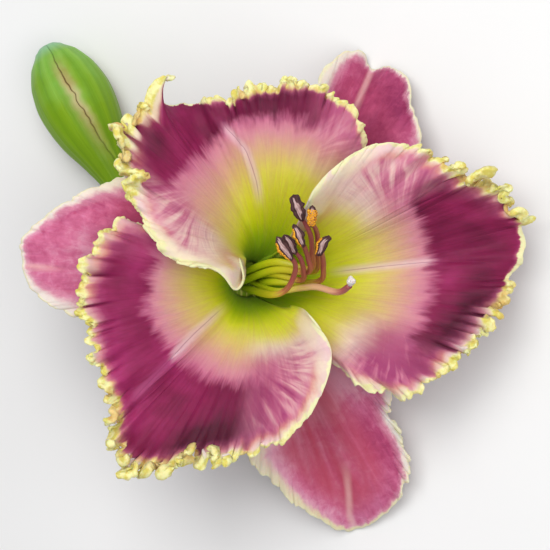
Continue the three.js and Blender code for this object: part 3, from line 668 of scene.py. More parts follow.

# Stations such as eye_start pair a plan angle about the throat's middle, in degrees, with a distance in
# millimetres or a share. A spur is drawn out of the edge near a plan point: (root, width, depth, way half
# along, tip).
# The stations for the depth of colour towards the edge and in the eye are partly the tepal's own colour and
# partly painted shade; on the sepals they also hold painted light.
PETALS = {
    "petal_upper": dict(
        PETAL, facing=92, spread=47, plan=110, seed=0.1, calm=(0.05, 0.2), frilled=(0.02, 0.8), slant=0.4,
        rim_at=(0.05, 0.3), rib_fade=(22, 52), tuck=0,
        margin=[
            [17, 21, 43, 0.6, 3], [27, 37, 51, 0.62, 5], [21, 51, 56, 0.65, 6], [5, 57, 56, 0.68, 7],
            [-10, 53.6, 53, 0.76, 9], [-26, 50, 46, 0.9, 13], [-37, 51, 53, 0.77, 9],
            [-45, 43, 57, 0.68, 6], [-45, 31, 59, 0.66, 5], [-40, 18, 62, 0.64, 3], [-31, 5.2, 64, 0.55, 1],
            [-17.5, 1.3, 62.5, 0.55, -3], [-12, -4.1, 60, 0.8, -6], [-9.3, -1.3, 56.5, 0.95, -7],
            [-10.6, 5, 50, 1, -6],
        ],
        crimp=[
            55, 0.25, 66, 0.5, 80, 0.7, 88, 0.8, 97, 0.65, 106, 0.45, 110, 0.04, 120, 0.04, 122, 0.5,
            125, 1.05, 134, 1.2, 144, 0.75, 152, 0.2,
        ],
        coarse=[60, 0.4, 80, 0.6, 106, 0.5, 122, 0.9, 144, 0.9],
        fold=[60, 0.7, 110, 0.8, 122, 0.75, 144, 0.6],
        rib=[12, 88, 20, 91, 30, 93, 40, 97, 47, 103, 58, 108],
        green_end=[60, 31, 80, 33, 90, 31, 100, 27.5, 110, 20.5, 120, 13.5, 130, 9.5, 140, 7.5, 150, 6],
        eye_start=[
            60, 51, 70, 50, 90, 48.5, 100, 48.5, 108, 46.4, 113, 44, 118, 42.2, 130, 41.5, 140, 39, 160, 36,
        ],
        eye_share=[52, 0.1, 60, 0.3, 68, 0.75, 74, 1, 133, 1, 140, 0],
        eye_depth=[60, 0.5, 85, 0.62, 100, 0.64, 112, 0.56, 120, 0.5, 132, 0.52],
        lobe=[52, 0.4, 66, 0.3, 80, 0, 128, 0, 138, 1],
        depth_and_shade=[60, 0.35, 76, 0.85, 90, 0.95, 100, 0.7, 112, 0.6, 122, 0.65, 130, 0.75],
        flush=[
            90, 0, 98, -0.14, 106, -0.18, 113, -0.2, 122, -0.14, 130, 0, 140, -0.03, 150, -0.1, 160, -0.05,
            170, -0.16,
        ],
        pale=[
            52, 2.5, 66, 1.8, 80, 2.4, 104, 2, 110, 0.5, 121.3, 0.5, 122.6, 7, 138, 5, 150, 5, 158, 7,
            168, 12,
        ],
        white=[100, 0.7, 130, 0.95],
        spurs=[
            ([-36.9, 50.2], 0.95, 3.6, [2.6, 8.4, 6], [8.4, 5.4, 4]),
            ([-26, 50], 3.6, 4, [0, 0.7, 0], [0, 1.1, 0]), ([-43, 28], 1.6, 4, [2, 0, 4], [6, 2.5, 4.5]),
            ([-45.5, 43], 1.3, 3, [-1, 0.5, 0], [-3, 1.5, 0]),
        ],
    ),
    "petal_right": dict(
        PETAL, facing=2, spread=60, plan=5, seed=0.45, calm=(0.02, 0.2), frilled=(0.02, 0.87),
        rim_at=(0.36, 0.48), rib_fade=(20, 56),
        margin=[
            [13, -22.5, 44, 0.6, 2], [21, -29, 51, 0.62, 5], [37, -36, 56, 0.64, 6],
            [51.5, -27, 57, 0.68, 6], [63, -15, 56, 0.7, 7], [69.5, -3, 54, 0.72, 7],
            [74, 9.5, 52, 0.74, 8], [72, 19, 55, 0.72, 7], [65.5, 26, 58, 0.7, 6], [55, 30, 61, 0.66, 5],
            [42, 37, 64, 0.64, 4], [29, 38, 66, 0.62, 2], [17.5, 31.5, 66, 0.6, 0],
            [10.5, 23, 63, 0.55, -3], [12.5, 16.5, 56, 0.7, -8],
        ],
        crimp=[
            -47, 0.2, -40, 0.3, -30, 0.55, -20, 0.8, -8, 1, -3, 0.9, 2, 0.14, 12, 0.12, 14, 1, 26, 1.2,
            31, 0.7, 42, 0.4, 48, 0.12,
        ],
        coarse=[-45, 0.4, -25, 0.3, -3, 0.3, 8, 0.6, 16, 1, 30, 0.8, 45, 0.5],
        fold=[-45, 0.8, -25, 1, 0, 1, 12, 0.6, 30, 0.6, 45, 0.8], rib=[10, 9, 30, 8, 50, 7, 78, 4],
        green_end=[-50, 24, -38, 24, -30, 22.5, -15, 27.5, 5, 31, 35, 30, 45, 26, 60, 22],
        eye_start=[-40, 46, -25, 48.2, -15, 49.2, -5, 50.4, 8, 52.2, 20, 52.2, 30, 51.2, 40, 54],
        eye_share=[-34, 0, -26, 0.45, -19, 1, 27, 1, 34, 0.15, 38, 0],
        eye_depth=[-25, 0.56, -10, 0.6, -4, 0.56, 2, 0.42, 12, 0.48, 24, 0.62],
        lobe=[-34, 1, -22, 0.7, -13, 0, 22, 0, 32, 0.8, 40, 1],
        depth_and_shade=[-25, 0.6, -14, 1.05, -5, 1.05, 4, 0.55, 12, 0.5, 20, 0.75, 28, 0.85],
        flush=[
            -45, 0.02, -38, 0.08, -30, 0.24, -20, 0.18, -12, 0.02, -4, 0, 34, 0, 42, -0.02, 50, -0.2,
            58, -0.22,
        ],
        pale=[
            -47, 3.5, -35, 3.4, -22, 4.2, -6, 4.8, 0, 1.4, 12, 1.4, 16, 4.4, 28, 4.4, 40, 3.4, 46, 4.4,
            50, 7, 54, 10, 60, 13, 66, 15,
        ],
        white=[-30, 0.9, -6, 0.85, 2, 0.6, 10, 0.6, 20, 0.9],
        spurs=[
            ([60, 29], 1.3, 3, [0, 1, 1], [2, 3.4, 2]), ([73, 16.5], 1.2, 3, [1, 0, 1], [2.6, 0.6, 1]),
        ],
    ),
    "petal_lower": dict(
        PETAL, facing=232, spread=62, plan=235, seed=0.8, calm=(0.02, 0.16), frilled=(0.02, 0.9),
        rim_at=(0.4, 0.52), rib_fade=(12, 54),
        margin=[
            [-33, 9, 46, 0.6, 3], [-45, 16.5, 51, 0.64, 5], [-54, 7.5, 55, 0.66, 6],
            [-57.5, -5, 56, 0.68, 6], [-54.5, -18, 55, 0.7, 7], [-52, -29, 54, 0.7, 7],
            [-48, -39, 52, 0.72, 8], [-48.3, -50.5, 50, 0.72, 9], [-40, -58, 51, 0.72, 8],
            [-27, -56, 54, 0.7, 7], [-12, -54, 57, 0.68, 6], [3, -48, 60, 0.66, 5],
            [12.5, -37, 63, 0.64, 2], [16.5, -22.5, 63, 0.6, -1], [9.5, -11, 56, 0.7, -8],
        ],
        crimp=[
            150, 0.3, 160, 0.45, 175, 0.8, 190, 0.7, 200, 0.7, 215, 0.7, 224, 1.1, 240, 1.3, 255, 1.1,
            268, 0.6, 280, 0.35, 290, 0.12,
        ],
        coarse=[150, 0.5, 175, 0.3, 215, 0.4, 228, 0.8, 255, 0.8, 275, 0.5],
        fold=[150, 1.1, 205, 1, 220, 0.6, 262, 0.6, 280, 0.8],
        rib=[12, 211, 20, 215, 30, 218, 36, 220, 50, 222, 60, 224],
        green_end=[
            160, 20, 180, 19, 200, 17, 220, 15.5, 250, 14.5, 280, 15, 295, 16, 305, 15.5, 314, 15.5,
            330, 15,
        ],
        eye_start=[155, 33, 170, 33, 190, 35.6, 210, 34.8, 225, 33.3, 250, 31.9, 270, 30.2],
        eye_share=[150, 0.6, 165, 0.85, 172, 1, 258, 1, 266, 0.45, 276, 0.2, 286, 0],
        eye_depth=[165, 0.36, 192, 0.42, 202, 0.38, 212, 0.28, 224, 0.38, 238, 0.64, 255, 0.68],
        lobe=[150, 0.3, 165, 0.15, 180, 0, 252, 0, 266, 0.7, 280, 1],
        depth_and_shade=[
            150, 0.4, 165, 0.5, 178, 0.62, 192, 0.6, 202, 0.52, 212, 0.34, 225, 0.46, 238, 0.85, 248, 1.2,
            260, 1, 275, 0.5,
        ],
        flush=[258, 0, 266, 0.08, 280, 0.06, 292, -0.01, 302, -0.06],
        pale=[
            150, 4, 175, 4.6, 200, 3.6, 220, 2.8, 226, 3.4, 255, 3.4, 268, 4, 275, 3.4, 292, 3.4, 300, 4.8,
            306, 7.5, 312, 12,
        ],
        white=[150, 0.5, 200, 0.35, 218, 0.5, 228, 0.95, 285, 0.9, 300, 0.78],
        spurs=[
            ([-25, -56], 1.4, 4, [0, 2, 2], [0, 5, 4]), ([-34, -58], 2.2, 4, [0, -0.6, 1], [0, -2, 3]),
            ([-43, -58], 1.6, 3, [-1, 0, 0], [-2.4, -1, 0]),
            ([-18.5, -55], 1.2, 3, [0, 1.5, 1.5], [0, 3.6, 2]),
        ],
    ),
}

SEPALS = {
    "sepal_left": dict(
        SEPAL, facing=174, plan=165, seed=0.3, rib_fade=(58, 78),
        margin=[
            [-30, 24, 39, 0.6, 6], [-41, 30, 43, 0.62, 7], [-54, 26.5, 44, 0.66, 8], [-66, 20, 43, 0.68, 9],
            [-75.5, 12, 40, 0.7, 10], [-76.5, 4, 38, 0.7, 11], [-73.5, -4.5, 38, 0.7, 10],
            [-64, -11, 41, 0.68, 9], [-54, -11.5, 40.5, 0.64, 8], [-38, -5, 37, 0.6, 6],
        ],
        crimp=[100, 0.1, 200, 0.14], rib=[20, 176, 75, 176],
        depth_and_shade=[140, 0.35, 150, 0.6, 165, 0.42, 175, 0.28, 188, 0.5], warm=[140, 0.7, 155, 0.1, 185, 0],
        pale=[140, 7, 150, 4, 160, 2.4, 170, 1.6, 178, 2.2, 186, 5, 200, 5],
    ),
    "sepal_top": dict(
        SEPAL, facing=60, plan=58, seed=0.6, rib_fade=(54, 76),
        margin=[
            [39, 25.5, 40, 0.6, 6], [44, 41, 40, 0.62, 8], [41.5, 51.5, 37, 0.66, 10],
            [41, 59, 33, 0.7, 12], [36, 64, 28, 0.74, 14], [30, 64, 22.35, 0.78, 16],
            [23, 69, 27, 0.74, 14], [17, 64.5, 33, 0.7, 12], [13, 55, 37, 0.66, 10], [10.5, 38, 38, 0.6, 8],
        ],
        crimp=[40, 0.12, 75, 0.04], rib=[20, 60, 56, 61.5, 75, 63],
        depth_and_shade=[43, 0.55, 50, 0.8, 58, 0.8, 63, 0.65, 70, 0.45], warm=[40, 0.3, 75, 0.1],
        pale=[43, 2, 50, 1.2, 62, 1.2, 66, 2, 70, 3.6, 74, 4.5],
        spurs=[
            ([26, 67.5], 2.6, 8, [0.7, 0.8, 0], [1.4, 1.6, 0]),
            ([15.5, 61], 4, 8, [-0.4, 0.4, 0], [-0.8, 0.8, 0]),
        ],
    ),
    "sepal_bottom": dict(
        SEPAL, facing=286, spread=42, plan=293, seed=0.9, rib_fade=(58, 84), keel=0.12,
        # lift: painted light, a paler rose near the base where the petals' shadow falls.
        lift=0.7,
        margin=[
            [7.5, -33, 41, 0.6, 6], [-7, -53, 39, 0.66, 9], [0, -63.5, 35, 0.7, 11],
            [10, -73, 29, 0.74, 13], [22.5, -79.5, 20.2, 0.76, 15], [34, -73.5, 27, 0.74, 14],
            [40, -62.5, 33, 0.7, 12], [38.5, -50, 37, 0.66, 10], [34.5, -42.5, 39, 0.62, 8],
            [36, -33, 39, 0.6, 6],
        ],
        crimp=[260, 0.3, 280, 0.2, 292, 0.04, 300, 0.12, 306, 0.35, 314, 0.4, 320, 0.3],
        rib=[20, 291, 50, 294, 64, 294, 77, 290.5],
        depth_and_shade=[268, -0.05, 280, 0.2, 290, 0.36, 300, 0.46, 307, 0.66, 316, 0.5],
        warm=[268, 0.5, 284, 1, 300, 0.9, 308, 0.1],
        pale=[266, 6, 275, 4.5, 284, 2.4, 295, 1.4, 305, 1.4, 312, 3, 320, 4],
    ),
}


def margin_at(tepal, t):
    """The margin's station at a share t of its length: a smooth curve through the stations."""
    stations = np.asarray(tepal["margin"], float)
    last = len(stations) - 1
    k = np.minimum(np.floor(t * last).astype(int), last - 1)
    return between(*neighbours(stations, k), (t * last - k)[..., None])


def blade(tepal, t, w):
    """A point of the smooth tepal: share t round its margin, share w of the way out along a cubic curve."""
    t, w = np.broadcast_arrays(np.clip(t, 0, 1), np.clip(w, 0, 1))
    station = margin_at(tepal, t)
    end = station[..., :3]
    reach, arch_height = station[..., 3:4], station[..., 4]
    angle = np.radians(tepal["facing"] + tepal["spread"] * (2 * t - 1))[..., None]
    out = ACROSS * np.cos(angle) + UPRIGHT * np.sin(angle)
    rim, throat = tepal["rim"], tepal["throat"]
    start = TUBE_TOP + BLOOM_AXIS * SEAT + out * (rim[0] + (rim[1] - rim[0]) * t)[..., None]
    rise = TUBE_TOP + BLOOM_AXIS * tepal["rise"] + out * (throat[0] + (throat[1] - throat[0]) * t)[..., None]
    arch = np.concatenate([end[..., :2] * reach, (end[..., 2] + arch_height)[..., None]], -1)
    w = w[..., None]
    v = 1 - w
    return start * v**3 + 3 * rise * v * v * w + 3 * arch * v * w * w + end * w**3


def blade_frame(tepal, t, w):
    """Outward, along-the-margin and face directions of the smooth tepal, from small differences."""
    small = 0.004
    outward = unit(blade(tepal, t, w + small) - blade(tepal, t, w - small))
    round_it = blade(tepal, t + small, w) - blade(tepal, t - small, w)
    face = -unit(np.cross(round_it, outward))
    return outward, np.cross(outward, face), face


def plan_place(tepal, points):
    """The plan angle about the throat's middle, in degrees unwrapped about the tepal, and the distance."""
    x = points[..., 0] - THROAT_MIDDLE[0]
    y = points[..., 1] - THROAT_MIDDLE[1]
    turn = np.degrees(np.arctan2(y, x)) - tepal["plan"]
    return tepal["plan"] + (turn + 180) % 360 - 180, np.hypot(x, y)


def ruffle(tepal, t, w):
    """The broad ruffle: how far the edge stands off the smooth tepal, and how far it is drawn out or in."""
    seed, calm = tepal["seed"], tepal["calm"]
    phase = 2 * np.pi * (tepal["waves"] * t + 0.45 * np.sin(2 * np.pi * (2.3 * t + seed)))
    uneven = 0.75 + 0.25 * np.sin(2 * np.pi * (3.7 * t + 2 * seed))
    ends = smooth((t - calm[0]) / 0.12) * smooth((1 - calm[1] - t) / 0.12)
    near = np.clip((w - tepal["start"]) / (1 - tepal["start"]), 0, 1) ** tepal["power"]
    stand = tepal["height"] * uneven * ends * near * np.sin(phase)
    return np.stack([stand, tepal["scallop"] * ends * near * np.cos(2 * phase)])


def curled(inward, depth, turn):
    """The shift outward and off the face of an edge whose last depth bends through an angle as an arc."""
    bend = turn / depth
    bend = np.where(np.abs(bend) < 1e-3, 1e-3, bend)
    reach = np.clip(depth - inward, 0, None)
    return np.sin(bend * reach) / bend - reach, (1 - np.cos(bend * reach)) / bend


def crimps(along, inward, strength, coarse, fold, seed):
    """The frill's shift along outward, round and face directions, in millimetres.

    The edge is rolled through an angle that wanders along the margin, over the face in places and open in
    others. Three octaves of crimp ride on it: each stands off the face as a sine with rounded tops, is drawn
    out and in with it and is pulled sideways at twice the rate, so its folds lean over each other. The
    longest octave and the roll grow with the coarse share. All hold inwards from the edge for a while, as
    the fold share says, and then die away.
    """
    strength = strength + 0 * inward
    turn = strength * (0.3 + 0.6 * coarse + (0.5 + 1.2 * coarse) * wander(along, 6.6, seed + 5))
    outward, face = curled(inward, 1.4 + 3.2 * np.clip(strength, 0, 1), turn)
    outward = outward + 0.5 * strength * np.exp(-((inward / 4) ** 2))
    round_it = np.zeros(outward.shape)
    crest_light_and_shade = np.zeros(outward.shape)
    for length, off, out, side, depth, salt, level, slope in CRIMPS:
        phase = 2 * np.pi * (along / length + 0.32 * wander(along, 3.1 * length, seed + salt))
        uneven = 0.8 + 0.45 * wander(along, 2.6 * length, seed + 10 + salt)
        share = strength * uneven * (level + slope * coarse)
        fade = share * np.exp(-((inward / (fold * depth)) ** 2.2))
        rounded = np.sin(phase) + 0.22 * np.cos(2 * phase)
        face = face + off * fade * rounded
        # This crest field only paints colour: painted light on the crests of the crimps, painted shade in
        # their valleys.
        crest_light_and_shade = crest_light_and_shade + off * share * np.exp(-((inward / (1.2 * fold * depth)) ** 2.4)) * rounded
        outward = outward + out * fade * np.sin(phase + 0.4 * salt)
        round_it = round_it + side * fade * np.sin(2 * phase + 0.5)
    return outward, round_it, face, crest_light_and_shade


def margin_map(points, margin, lengths):
    """How far each point of a grid lies from the margin, and the place along it that lies beside the point.

    The place is a mean of the lengths along the margin, weighted by the sixth power of nearness, so it turns
    smoothly where two stretches of margin are as near as each other.
    """
    flat = points.reshape(-1, 3)
    squares = np.sum(flat**2, axis=1)[:, None] + np.sum(margin**2, axis=1)[None, :] - 2 * flat @ margin.T
    squares = np.clip(squares, 0.01, None)
    nearness = (squares.min(axis=1)[:, None] / squares) ** 3
    beside = nearness @ lengths / nearness.sum(axis=1)
    return np.sqrt(squares.min(axis=1)).reshape(points.shape[:2]), beside.reshape(points.shape[:2])


def tepal_surface(tepal, t, w, seed):
    """The middle surface of a tepal over rows t and columns w, with its fields for thickness and colour."""
    fine = np.linspace(0, 1, MARGIN_STEPS)
    margin = blade(tepal, fine, 1.0)
    lengths = running_length(margin)
    t, w = np.asarray(t)[:, None], np.asarray(w)[None, :]
    along = np.interp(t, fine, lengths)
    row_turn = np.interp(t, fine, plan_place(tepal, margin)[0])
    strength, coarse, fold = (by_stations(row_turn, tepal[key]) for key in ("crimp", "coarse", "fold"))
    first, last = tepal["frilled"]
    strength = strength * smooth((t - first) / 0.06) * smooth((last - t) / 0.05)
    base = blade(tepal, t, w)
    outward, round_it, face = blade_frame(tepal, t, w)
    stand, draw = ruffle(tepal, t, w) * smooth(0.1 + np.maximum(strength, 0.6 * (strength < 0.005)) / 0.22)
    from_margin, beside = margin_map(base, margin[::5], lengths[::5])
    base = base + face * stand[..., None] + outward * (draw * (w > 0.05))[..., None]
    steps = np.linalg.norm(np.diff(base, axis=1), axis=2)
    inward = np.concatenate([np.cumsum(steps[:, ::-1], axis=1)[:, ::-1], np.zeros((len(t), 1))], axis=1)
    near = np.minimum(inward, from_margin)
    out_by, round_by, face_by, crest_light_and_shade = crimps(along, inward, strength, coarse, fold, seed)
    turn, distance = plan_place(tepal, base)
    rib = np.radians(turn - by_stations(distance, tepal["rib"])) * distance
    # Low pleats that fan out along the veins, and a shallow groove on the midrib between two low ridges.
    spacing = np.linalg.norm(np.gradient(base, axis=0), axis=2)
    fan = smooth((w - 0.3) / 0.4) * np.clip(spacing / spacing[:, -1:], 0, 1) ** 1.5
    pleats = tepal["pleat"] * (0.5 * wander(along, 12, seed + 21) + 0.12 * wander(along, 5, seed + 22))
    fan = fan * (0.15 + 0.85 * smooth((0.97 - t) / 0.15)) * (1 - 0.8 * smooth((13 - near) / 9))
    keel = 0.7 * np.exp(-((np.abs(rib) - 2.2) / 1.3) ** 2) - 0.5 * np.exp(-(rib / 0.7) ** 2)
    face_by = face_by + fan * pleats
    face_by = face_by + tepal["keel"] * fan * keel
    middle = base + outward * out_by[..., None] + round_it * round_by[..., None] + face * face_by[..., None]
    knots = np.zeros(inward.shape)
    for root, width, depth, halfway, tip in tepal["spurs"]:
        at = lengths[np.argmin(np.linalg.norm(margin[:, :2] - np.array(root), axis=1))]
        g = (np.exp(-((along - at) / width) ** 4) * np.exp(-inward / depth))[..., None]
        middle = middle + 2 * g * (1 - g) * np.array(halfway) + g * g * np.array(tip)
        knots = knots + (g * np.sin(9 * np.pi * g))[..., 0]
    tuck = tepal["tuck"] * smooth((t - 0.95) / 0.05) * smooth((0.6 - w) / 0.2)
    middle = middle - face * tuck[..., None]
    fields = dict(turn=turn, distance=distance, inward=inward, along=along, strength=strength, rib=rib,
                  crest_light_and_shade=crest_light_and_shade, edge=near, beside=beside, knots=knots)
    return middle, fields


def tepal_rows(tepal, count, seed):
    """Shares t of the rows, spaced evenly by the length of the crimped edge, with some by the smooth one."""
    t = np.linspace(0, 1, ROW_STEPS)
    edge = tepal_surface(tepal, t, [0.97, 1.0], seed)[0][:, 1]
    smooth_edge = blade(tepal, t, 1.0)
    steps = 0.7 * np.linalg.norm(np.diff(edge, axis=0), axis=1)
    steps = steps + 0.3 * np.linalg.norm(np.diff(smooth_edge, axis=0), axis=1)
    lengths = np.concatenate([[0], np.cumsum(steps)])
    return np.interp(np.linspace(0, lengths[-1], count), lengths, t)


def edge_profile(inward, body, bead, t):
    """Half the thickness: a rounded bead along the edge, an even body, both thin at the fan's two sides."""
    side = smooth(np.minimum(t, 1 - t) / 0.02)
    body = body * (0.12 + 0.88 * side)[:, None]
    bead = bead * (0.3 + 0.7 * side)[:, None]
    share = np.clip(inward / bead, 0, 2)
    rounded = bead * np.sqrt(np.clip(1 - (1 - share) ** 2, 0.0015, 1))
    flat = body * np.sqrt(np.clip(inward / 0.5, 0.002, 1))
    blend = smooth((inward - bead) / bead)
    return np.maximum(rounded * (1 - blend), 0.02) * (1 - blend) + flat * blend


def tepal_start(tepal, seed, rows, cols, crowding, rib_in, rib_out):
    """A tepal's shares t and w, its middle surface with its fields, and the marks that every tepal has.

    The columns crowd towards the edge as a power says. The midrib comes in and goes out over two lengths.
    """
    w = 1 - (1 - np.linspace(0, 1, cols)) ** crowding
    t = tepal_rows(tepal, rows, seed)
    middle, at = tepal_surface(tepal, t, w, seed)
    rib_from, rib_to = tepal["rib_fade"]
    distance = at["distance"]
    marks = {
        "uv": grid_uv(t[:, None], w[None, :]),
        "edge": at["edge"],
        "rib": at["rib"],
        "rib_share": smooth((distance - rib_from) / rib_in) * smooth((rib_to - distance) / rib_out),
        "pale_reach": np.maximum(by_stations(at["turn"], tepal["pale"]), 0.5),
    }
    return t, w, middle, at, marks


def add_petal(name, tepal, material):
    """A petal's blade with its crimps and bead, and the fields that its finish reads."""
    seed = int(tepal["seed"] * 100)
    t, w, middle, at, marks = tepal_start(tepal, seed, PETAL_ROWS, PETAL_COLS, 1.7, 8, 6)
    turn, distance, inward, strength = at["turn"], at["distance"], at["inward"], at["strength"]
    green_end, eye_start, eye_depth, depth_and_shade, crimp = (
        by_stations(turn, tepal[key]) for key in ("green_end", "eye_start", "eye_depth", "depth_and_shade", "crimp")
    )
    zone = np.where(distance < green_end, 0.5 * distance / green_end,
                    0.5 + 0.5 * (distance - green_end) / np.maximum(eye_start - green_end, 4))
    zone = np.minimum(zone, 1.2) * smooth((w[None, :] - 0.05) / 0.3)
    eye_turn = turn - 0.4 * tepal["slant"] * (distance - 40)
    out_of_eye = smooth((18 - inward) / 11) * (0.7 + 0.3 * smooth(inward / 7))
    rim_from, rim_to = tepal["rim_at"]
    beads = np.clip(1.05 + 0.6 * wander(at["along"], 2.6, seed + 31), 0.4, 2.1)
    bead = np.broadcast_to(BEAD + (beads - BEAD) * np.clip(strength, 0, 1.15), inward.shape)
    lumps = wander2(at["along"], inward, 1.8, seed + 32) * np.clip(strength, 0, 1)
    half = edge_profile(inward, PETAL_BODY, bead, t) * (1 + 0.34 * lumps * np.exp(-((inward / 3) ** 2)))
    half = half * (1 + 0.6 * at["knots"] * np.exp(-((inward / 2) ** 2)))
    uneven = 0.8 + 0.5 * wander(at["along"], 19, seed + 33)
    sides = np.maximum(smooth(1 - (1 - t) / 0.025), smooth(1 - t / 0.03))[:, None]
    marks |= {
        "beside": at["beside"],
        "zone": zone,
        "lobe": by_stations(turn, tepal["lobe"]) * smooth((zone - 0.52) / 0.2),
        "eye": distance - eye_start,
        "eye_share": by_stations(eye_turn, tepal["eye_share"]) * smooth((zone - 0.8) / 0.15),
        # Partly the burgundy's own depth, partly painted shade.
        "depth_and_shade": eye_depth + (depth_and_shade - eye_depth) * out_of_eye,
        "flush": by_stations(turn, tepal["flush"]),
        "frill": np.broadcast_to(smooth(strength / 0.7), inward.shape),
        "white": by_stations(turn, tepal["white"]),
        "gold_reach": 0.1 + 1.1 * smooth((crimp - 0.05) / 0.08) + 2.0 * strength,
        # The crimps' crests and valleys, for painted light and painted shade.
        "crest_light_and_shade": np.clip(at["crest_light_and_shade"] / 1.7 * uneven, -1.2, 1.2),
        "rimmed": smooth((zone - rim_from) / (rim_to - rim_from)) * smooth(t / 0.04)[:, None],
        # The fan's two side edges, away from the margin, for painted shade in the throat.
        "side": sides * smooth((at["edge"] - 3) / 3),
    }
    add_sheet(name + "_blade", middle, half, marks, material, name)


def add_sepal(name, tepal, material):
    """A sepal's blade with its soft waves, and the fields that its finish reads."""
    seed = 200 + int(tepal["seed"] * 100)
    t, w, middle, at, marks = tepal_start(tepal, seed, SEPAL_ROWS, SEPAL_COLS, 1.5, 10, 4)
    turn, distance, inward = at["turn"], at["distance"], at["inward"]
    half = edge_profile(inward, SEPAL_BODY, np.full(inward.shape, BEAD), t)
    marks |= {
        "zone": np.clip(distance / 45, 0, 2) * smooth(w / 0.4)[None, :],
        # Near the base the lift pales the rose: painted light where the petals cast their shadow.
        "depth_and_shade": by_stations(turn, tepal["depth_and_shade"]) - tepal["lift"] * smooth((52 - distance) / 14),
        "warm": by_stations(turn, tepal["warm"]),
    }
    add_sheet(name + "_blade", middle, half, marks, material, name)


# ---- scape, tube and bracts ----
SCAPE_RADIUS = 3.4
SCAPE_PLAN = [(5, -62), (-12, -34), (-27, -12), (-37, 6)]
BLOOM_NODE, BUD_NODE = SCAPE_PLAN[2], SCAPE_PLAN[3]
PEDICEL_WAY = unit([0.25, 0.35, 0.9])
TUBE_FOOT = above(BLOOM_NODE, 9) + PEDICEL_WAY
TUBE_RADII = [0, 2.6, 0.22, 3.7, 0.45, 3.3, 0.75, 5.2, 0.92, 7.9, 1, 8.6]


def add_tube(material):
    """The perianth tube: a flared bar with the ovary swelling at its foot and six soft ribs."""
    points = [TUBE_FOOT, TUBE_FOOT + 5 * PEDICEL_WAY, TUBE_TOP - 7 * BLOOM_AXIS, TUBE_TOP]
    add_bar("flower_tube", points, TUBE_RADII, 90, 120, material, "perianth_tube", "tube",
            read=by_soft_stations, zone=way_along,
            relief=lambda s, a: 0.16 * np.cos(6 * a) * np.sin(np.pi * s) ** 0.5 + 0.03 * np.cos(24 * a))


def add_stalk(name, points, radii, rings, cut, material):
    """A round green stalk along a line, with faint ridges and a pale cut end as long as a share of it."""
    add_bar(name, points, radii, rings, 48, material, "scape", "stem",
            read=by_soft_stations, first=UP, cut=lambda s, a: s < cut,
            relief=lambda s, a: 0.05 * np.cos(11 * a + 2 * s) + 0.05 * np.cos(5 * a + 9 * s))


def add_scape(material):
    """The scape from its cut end to the bud's node, and the two stalks that leave it for bloom and bud."""
    height = SCAPE_RADIUS * math.cos(math.pi / 10)
    line = [above(place, height) for place in SCAPE_PLAN]
    radii = [0, 3.2, 0.02, 3.35, 0.5, 3.3, 0.7, 3.35, 0.78, 3.6, 0.86, 3.3, 1, 3.1]
    add_stalk("scape_stalk", line, radii, 220, 0.004, material)
    lift = [above(BLOOM_NODE, 3), TUBE_FOOT - 3 * PEDICEL_WAY, TUBE_FOOT - SEAT * PEDICEL_WAY]
    add_stalk("bloom_stalk", lift, [0, 2.6, 0.5, 2.4, 1, 2.5], 40, -1, material)
    reach = [above(BUD_NODE, height), BUD_AXIS_FOOT - 4 * BUD_AXIS, BUD_AXIS_FOOT - SEAT * BUD_AXIS]
    add_stalk("bud_stalk", reach, [0, 3.2, 0.5, 2.75, 1, 3.5], 60, -1, material)


def add_bract(name, node_name, foot, direction, face, length, width, material):
    """A small pointed leaf: it narrows as a power of its length, cups across and lifts as its square."""
    side = unit(np.cross(face, direction))
    s = np.linspace(0, 1, 60)[:, None]
    c = np.linspace(-1, 1, 25)[None, :]
    half = (width / 2) * (1 - s) ** 0.7 + 0.3
    cup = 0.9 * (1 - c * c) * (1 - s) + 2 * s * s + 0.08 * np.cos(9 * np.pi * c) * (1 - s)
    middle = foot + (s * length)[..., None] * direction + (c * half)[..., None] * side + cup[..., None] * face
    thin = 0.33 * np.sqrt(np.clip(1 - c**2, 0.05, 1))
    marks = {"uv": grid_uv(0.5 + c / 2, s), "cut": (s > 0.9) * 0.6 + 0 * c}
    lift = thin[..., None] * face
    add_shell(name, middle + lift, middle - lift, marks, material, node_name)


def add_bracts(material):
    """One bract on the outer side of each node."""
    growth = unit(above(BUD_NODE, 0) - above(BLOOM_NODE, 0))
    aside = unit(np.cross(UP, growth))
    for name, node, turn, out, rise, length, width in (
        ("bract_bloom", BLOOM_NODE, 1, SCAPE_RADIUS + 0.4, 0.35, 20, 5),
        ("bract_bud", BUD_NODE, -1, SCAPE_RADIUS - 0.35, 0.15, 15, 4.5),
    ):
        foot = above(node, SCAPE_RADIUS) + aside * turn * (out + SEAT)
        way = unit(growth + aside * turn * 0.25 + UP * rise)
        add_bract(name + "_leaf", name, foot, way, aside * turn, length, width, material)


# ---- bud ----
BUD_ROWS, BUD_COLS = 200, 110
BUD_LENGTH = 59
BUD_RADIUS = 12.6
BUD_FLATTEN = 0.93
BUD_HEIGHT = BUD_RADIUS * BUD_FLATTEN - 0.6
BUD_AXIS_FOOT = above((-42.3, 22.6), BUD_HEIGHT)
BUD_AXIS = unit(above((-70.5, 75), BUD_HEIGHT) - BUD_AXIS_FOOT)
BUD_SIDE = unit(np.cross(UP, BUD_AXIS))
BUD_RADII = [
    0, 3.8, 0.1, 4.6, 0.25, 7, 0.45, 11, 0.65, BUD_RADIUS, 0.8, 11.2, 0.9, 8.4, 0.97, 4.8, 0.99, 3.1, 1, 0.8,
]
BUD_CORE_RADII = [0, 1.6, 0.1, 2.4, 0.25, 5, 0.45, 9.1, 0.65, 10.7, 0.8, 9.3, 0.9, 6.3, 0.97, 2.6, 1, 0.8]
BUD_WALL = 1.3
BUD_SEAMS = (68, 188, 308)  # degrees round the bud, 90 being up
